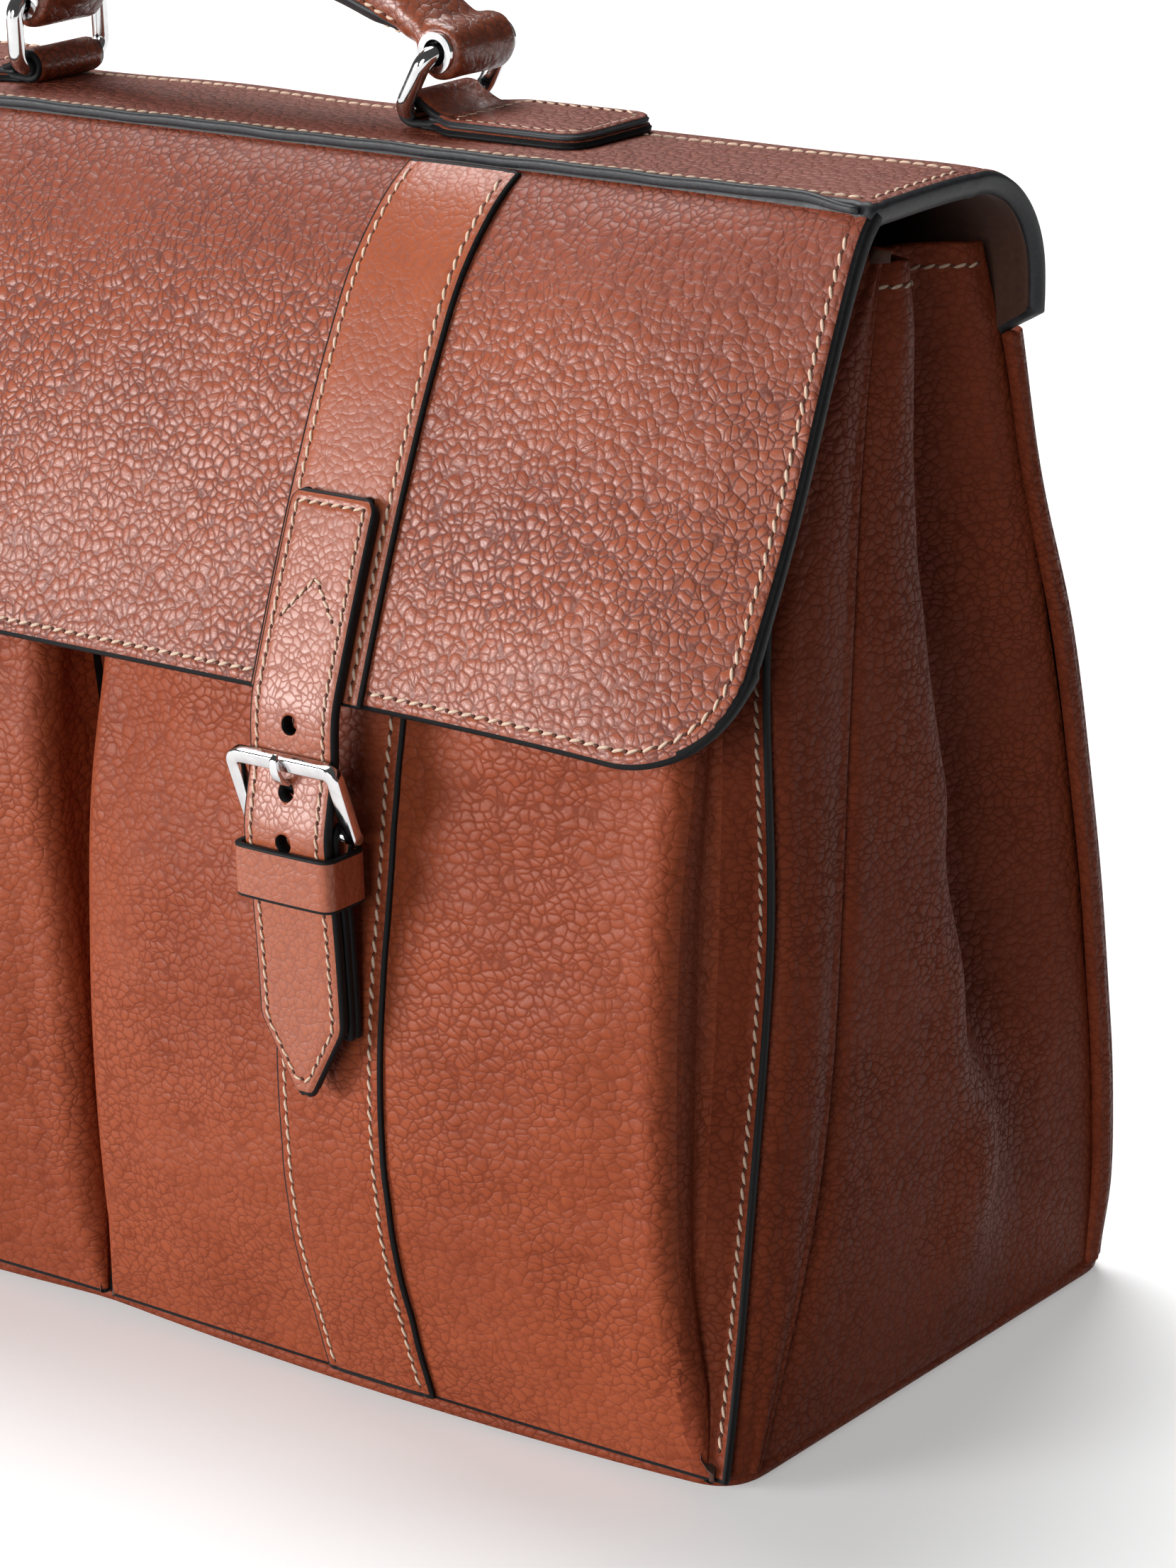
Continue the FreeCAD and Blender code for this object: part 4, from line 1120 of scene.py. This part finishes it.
def add_buckle(x, word):
    low = np.array([x, BAR_Y - 0.2, BAR_Z - 0.6])
    top = np.array([x, -109.5, 170.4])
    rise = unit(top - low)
    reach = np.linalg.norm(top - low)
    half = 15.3
    r = 2.6
    bow = [(-half, t) for t in np.linspace(0, reach - r, 12)]
    bow += arc((r - half, reach - r), (r, r), pi, pi / 2, 7)[1:]
    bow += [(v, reach) for v in np.linspace(r - half, half - r, 16)[1:8]]
    bow += [(-u, t) for u, t in bow[::-1]]
    path = [low + np.array([u, 0, 0]) + rise * t for u, t in bow]
    face = np.cross((1, 0, 0), rise)
    piece = sweep("buckle_bow_" + word, path, round_section(1.5, 1.8, 0.55, 3), face, [chrome])
    place(piece, "buckle_frame_" + word, "polished_metal", "buckle_frame_" + word)
    bar = bar_path((x, BAR_Y, BAR_Z), (1, 0, 0), 33.6)
    pin = sweep("buckle_bar_" + word, bar, circle(1.4, 24), (0, 0, 1), [chrome])
    place(pin, "buckle_frame_" + word, "polished_metal")
    line = spline([(-101.6, 154.4), (-102.6, 157.4), (-104.2, 161.0), (-108.2, 164.6), (-111.4, 167.2),
                   (-112.35, 169.4), (-112.3, 171.6), (-111.6, 172.9)], 50)
    path = [(x, y, z) for y, z in line]
    grow = np.interp(np.arange(50), [0, 8, 36, 46, 49], [1.0, 1.0, 0.95, 0.8, 0.45])
    section = np.array(round_section(1.35, 0.85, 0.55, 3))
    prong = sweep("buckle_prong_" + word, path, section * grow[:, None, None], (1, 0, 0), [chrome])
    place(prong, "buckle_tongue_" + word, "polished_metal", "buckle_tongue_" + word)
    ring = [(x, BAR_Y + y, BAR_Z + z) for y, z in circle(2.15, 24)]
    section = round_section(1.3, 0.6, 0.4, 3)
    eye = sweep("prong_eye_" + word, ring, section, (1, 0, 0), [chrome], closed=True)
    place(eye, "buckle_tongue_" + word, "polished_metal")


# Handle -----------------------------------------------------------------------------------------
def tab_outline(side, half_steps, radii, step):
    """Outline of a handle tab, from half of its corners as (x, half width)."""
    corners = [(x, -half) for x, half in half_steps] + [(x, half) for x, half in half_steps[::-1]]
    corners = [(side * x, HANDLE_Y + y) for x, y in corners]
    return rounded_outline(corners, radii + radii[::-1], step)


def add_handle_bases():
    lower_steps = [(66, 12.0), (71, 12.0), (77, 16.5), (117.2, 16.5)]
    upper_steps = [(69, 11.5), (71.5, 11.5), (77.4, 16.0), (116.7, 16.0)]
    for side, word in SIDES:
        outline = tab_outline(side, lower_steps, [0.4, 3, 3, 7.5], 1.2)
        lower = plate("handle_tab_lower_" + word, outline, 298.15, 300.3, HANDLE_SET)
        place(lower, "flap", "handle_leather", "handle_base_" + word)
        outline = tab_outline(side, upper_steps, [0.4, 3, 3, 7.2], 1.2)
        name = "handle_tab_upper_" + word
        upper = plate(name, outline, 300.2, 302.3, [flap_leather, grey_paint, flap_leather])
        place(upper, "flap", "handle_leather")
        add_ring_loop(side, word)
        row = tab_outline(side, [(78.5, 13.7), (114.0, 13.7)], [1.5, 5.5], 1.5)
        stitch(name, np.c_[row, np.full(len(row), 302.4)], "flap", closed=True, pitch=3.4)


def add_ring_loop(side, word):
    """The leather that turns round the metal ring, with both its ends under the upper tab."""
    half = 11.9
    turn = arc((RING_X, LOOP_Z), (4.6, 4.4), radians(-115), radians(-320), 18)
    under = [(71.5, 298.7), (67.0, 298.3)]
    over = [(68.6, 304.3), (71.5, 302.9), (76.0, 302.2)]
    line = spline(under + turn + over, 60)
    us = span(-half, half, 2.5, 0.7, 3.0)
    grid = np.array([[(side * x, HANDLE_Y + u, z) for u in us] for x, z in line])
    edge = half - np.abs(us)[None, :] + 0 * grid[..., 0]
    grid += surface_normals(grid) * (rounding(edge, 0.5, 0.8) * side)[..., None]
    outward = grid[grid.shape[0] // 2, grid.shape[1] // 2] - np.array([side * RING_X, HANDLE_Y, LOOP_Z])
    loop = sheet("ring_loop_" + word, grid, 1.9, HANDLE_SET, outward)
    place(loop, "flap", "handle_leather")


END_ANGLE = radians(32.72)
ARC = 125.0
ARC_CENTRE = -ARC * cos(END_ANGLE)
HANDLE_TILT = radians(1.004)
HANDLE_MIDDLE = np.array([4.314, HANDLE_Y, 318.366])


def handle_point(angle, across, radial):
    """A point of the handle: angle along its arch, across it, and out from its centre line."""
    x = (ARC + radial) * np.sin(angle)
    z = ARC_CENTRE + (ARC + radial) * np.cos(angle)
    turned = np.stack([x * cos(HANDLE_TILT) + z * sin(HANDLE_TILT), across + 0 * x,
                       -x * sin(HANDLE_TILT) + z * cos(HANDLE_TILT)], -1)
    return turned + HANDLE_MIDDLE


def handle_sizes(angle):
    """Half width and half height of the grip at an angle along its arch."""
    degrees = np.abs(np.degrees(angle))
    width = np.interp(degrees, [0, 20, 25, 29, 33], [8.8, 8.9, 9.6, 10.8, 10.8])
    height = np.interp(degrees, [0, 20, 25, 29, 33], [8.8, 8.6, 7.4, 5.9, 5.4])
    return width, height


def handle_ends():
    return [handle_point(np.array([side * END_ANGLE]), 0.0, 0.0)[0] for side in (-1, 1)]


def rough_grip():
    """The grip's arch and a short drum at each end of it, still as three overlapping solids."""
    rings, sides = 90, 32
    angles = np.linspace(-END_ANGLE * 0.985, END_ANGLE * 0.985, rings)
    turns = np.linspace(0, 2 * pi, sides + 1)[:-1]
    points = [handle_point(np.full(sides, a), w * np.cos(turns), h * np.sin(turns))
              for a, w, h in zip(angles, *handle_sizes(angles))]
    faces = tube_faces(rings, sides)
    drum = ((-11.2, 5.6), (-10.6, 6.6), (-9.4, 7.1), (9.4, 7.1), (10.6, 6.6), (11.2, 5.6))
    for end, centre in enumerate(handle_ends()):
        points += [centre + np.array([(x, y, z) for x, z in circle(r, sides)]) for y, r in drum]
        start = (rings + end * len(drum)) * sides
        faces += [f[::-1] for f in tube_faces(len(drum), sides, start)]
    points = np.concatenate(points)
    return new_piece("handle_grip_leather", points, faces, [0] * len(faces), [handle_leather] * 2)


def add_handle():
    grip = rough_grip()
    remesh = grip.modifiers.new("remesh", "REMESH")
    remesh.mode = "VOXEL"
    remesh.voxel_size = 0.7 * MM
    relax = grip.modifiers.new("relax", "SMOOTH")
    relax.iterations = 9
    bake_modifiers(grip)
    co = np.array([v.co for v in grip.data.vertices]) / MM
    normal = np.array([v.normal for v in grip.data.vertices])
    ripple = waves(co, 9, 61, stretch=(1.8, 0.6, 0.8)) * 0.16 + waves(co, 24, 62) * 0.25
    co += normal * ripple[:, None]
    grip.data.vertices.foreach_set("co", (co * MM).ravel())
    cut_holes(grip, *[round_cutter(centre, 4.2, 40, [handle_leather] * 2) for centre in handle_ends()])
    place(grip, "handle", "handle_leather", "handle_grip", "handle_end_left", "handle_end_right",
          "handle_core", "handle_edge")
    mesh = grip.data
    polygons = [tuple(p.vertices) for p in mesh.polygons]
    fronts["grip"] = BVHTree.FromPolygons([tuple(v.co / MM) for v in mesh.vertices], polygons)
    add_handle_seam()


def add_handle_seam():
    """The painted edge where the grip's leather meets, low on its front, and its two rows of stitches."""
    count = 120
    lean = radians(-138)
    angles = np.linspace(-radians(25.5), radians(25.5), count)
    width, height = handle_sizes(angles)

    def seam(turn, grow):
        """A line along the grip at an angle round it, and some mm out from it."""
        return np.concatenate([handle_point(np.array([a]), (w + grow) * cos(turn), (h + grow) * sin(turn))
                               for a, w, h in zip(angles, width, height)])

    path = seam(lean, -0.5)
    out = seam(lean, 2.0) - path
    fade = smoothstep(0, 10, np.minimum(np.arange(count), np.arange(count)[::-1]))
    sizes = np.array(round_section(2.2, 1.2, 1.0)) * (0.35 + 0.65 * fade)[:, None, None]
    across = np.cross(np.gradient(path, axis=0), out)
    edge = sweep("handle_seam_edge", path, sizes, across, [grey_paint])
    place(edge, "handle", "painted_edge")
    for shift in (-0.42, 0.42):
        stitch("grip", seam(lean + shift, 0.3), "handle", pitch=3.6, radius=0.5)


# Thread objects, metal and the parts of the frame that stay --------------------------------------
def add_threads():
    """Join all stitches, and all needle holes, that ride on the same body."""
    for key, kinds in threads.items():
        for kind, (points, faces) in kinds.items():
            name = "stitching_" + key if kind == "thread" else "needle_holes_" + key
            material = thread if kind == "thread" else painted_hole_shade
            piece = new_piece(name, np.concatenate(points), faces, [0] * len(faces), [material])
            if key.endswith("_flex"):
                blend_strap(piece)
            else:
                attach(piece, key)


def finish_frame_nodes():
    """Give the CAD's own metal parts their polish and the rest of its nodes the body's leather."""
    metal = ("ring", "ferrule", "snap", "buckle_frame", "buckle_tongue")
    for name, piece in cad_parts.items():
        piece.data.materials.clear()
        piece.data.materials.append(chrome if name.startswith(metal) else body_leather)


# Camera, floor and light ------------------------------------------------------------------------
WORLD_GLOW = 0.085


def add_camera():
    azimuth, elevation, roll = radians(38.3), radians(18.1), radians(-1.8)
    back = Vector((sin(azimuth) * cos(elevation), -cos(azimuth) * cos(elevation), sin(elevation)))
    right = Vector((cos(azimuth), sin(azimuth), 0))
    up = back.cross(right)
    turned_right = right * cos(roll) + up * sin(roll)
    turned_up = up * cos(roll) - right * sin(roll)
    matrix = Matrix((turned_right, turned_up, back)).transposed().to_4x4()
    matrix.translation = Vector((0.8217147, -0.9143767, 0.5161570))
    data = bpy.data.cameras.new("camera")
    data.sensor_width = 36.0
    data.lens = 113.62
    data.clip_end = 50.0
    camera = bpy.data.objects.new("camera", data)
    camera.matrix_world = matrix
    bpy.context.scene.collection.objects.link(camera)
    bpy.context.scene.camera = camera


def add_floor():
    material, tree, shader = new_material("floor_look")
    feed(tree, shader, {"Base Color": (0.92, 0.92, 0.92, 1), "Roughness": 0.9, "Specular IOR Level": 0.1,
                        "Emission Color": (1.0, 1.0, 1.0, 1), "Emission Strength": 0.30})
    mesh = bpy.data.meshes.new("floor")
    reach = 12.0
    mesh.from_pydata([(x, y, 0) for x, y in corners_of(reach, -reach, reach)], [], [(0, 1, 2, 3)])
    mesh.materials.append(material)
    floor = bpy.data.objects.new("floor", mesh)
    bpy.context.scene.collection.objects.link(floor)
    floor.visible_diffuse = False


def add_sun(name, direction, energy, width):
    """A soft sun in the given direction, whose disc is some degrees wide."""
    data = bpy.data.lights.new(name, "SUN")
    data.energy = energy
    data.angle = radians(width)
    light = bpy.data.objects.new(name, data)
    light.rotation_euler = Vector(direction).to_track_quat("Z", "Y").to_euler()
    bpy.context.scene.collection.objects.link(light)


def add_light_set():
    world = bpy.data.worlds.new("world")
    world.use_nodes = True
    tree = world.node_tree
    seen = node(tree, "ShaderNodeLightPath", {}).outputs["Is Camera Ray"]
    strength = math_node(tree, "MULTIPLY_ADD", seen, 1.0)
    strength.node.inputs[2].default_value = WORLD_GLOW
    feed(tree, tree.nodes["Background"], {"Color": (1.0, 1.0, 1.0, 1), "Strength": strength})
    bpy.context.scene.world = world
    add_sun("key", (-0.58, -0.78, 0.07), 4.5, 30)
    add_sun("front_fill", (0.24, -0.92, 0.24), 1.15, 30)
    add_sun("top_glow", (-0.40, 0.28, 0.87), 2.9, 40)
    bpy.context.scene.view_settings.view_transform = "Standard"


add_body_panels()
add_gussets()
add_base()
add_linings()
add_pockets()
add_flap_front()
add_ridge()
add_flap_top()
add_flap_bands()
add_straps()
add_handle_bases()
add_handle()
add_threads()
finish_frame_nodes()
add_camera()
add_floor()
add_light_set()
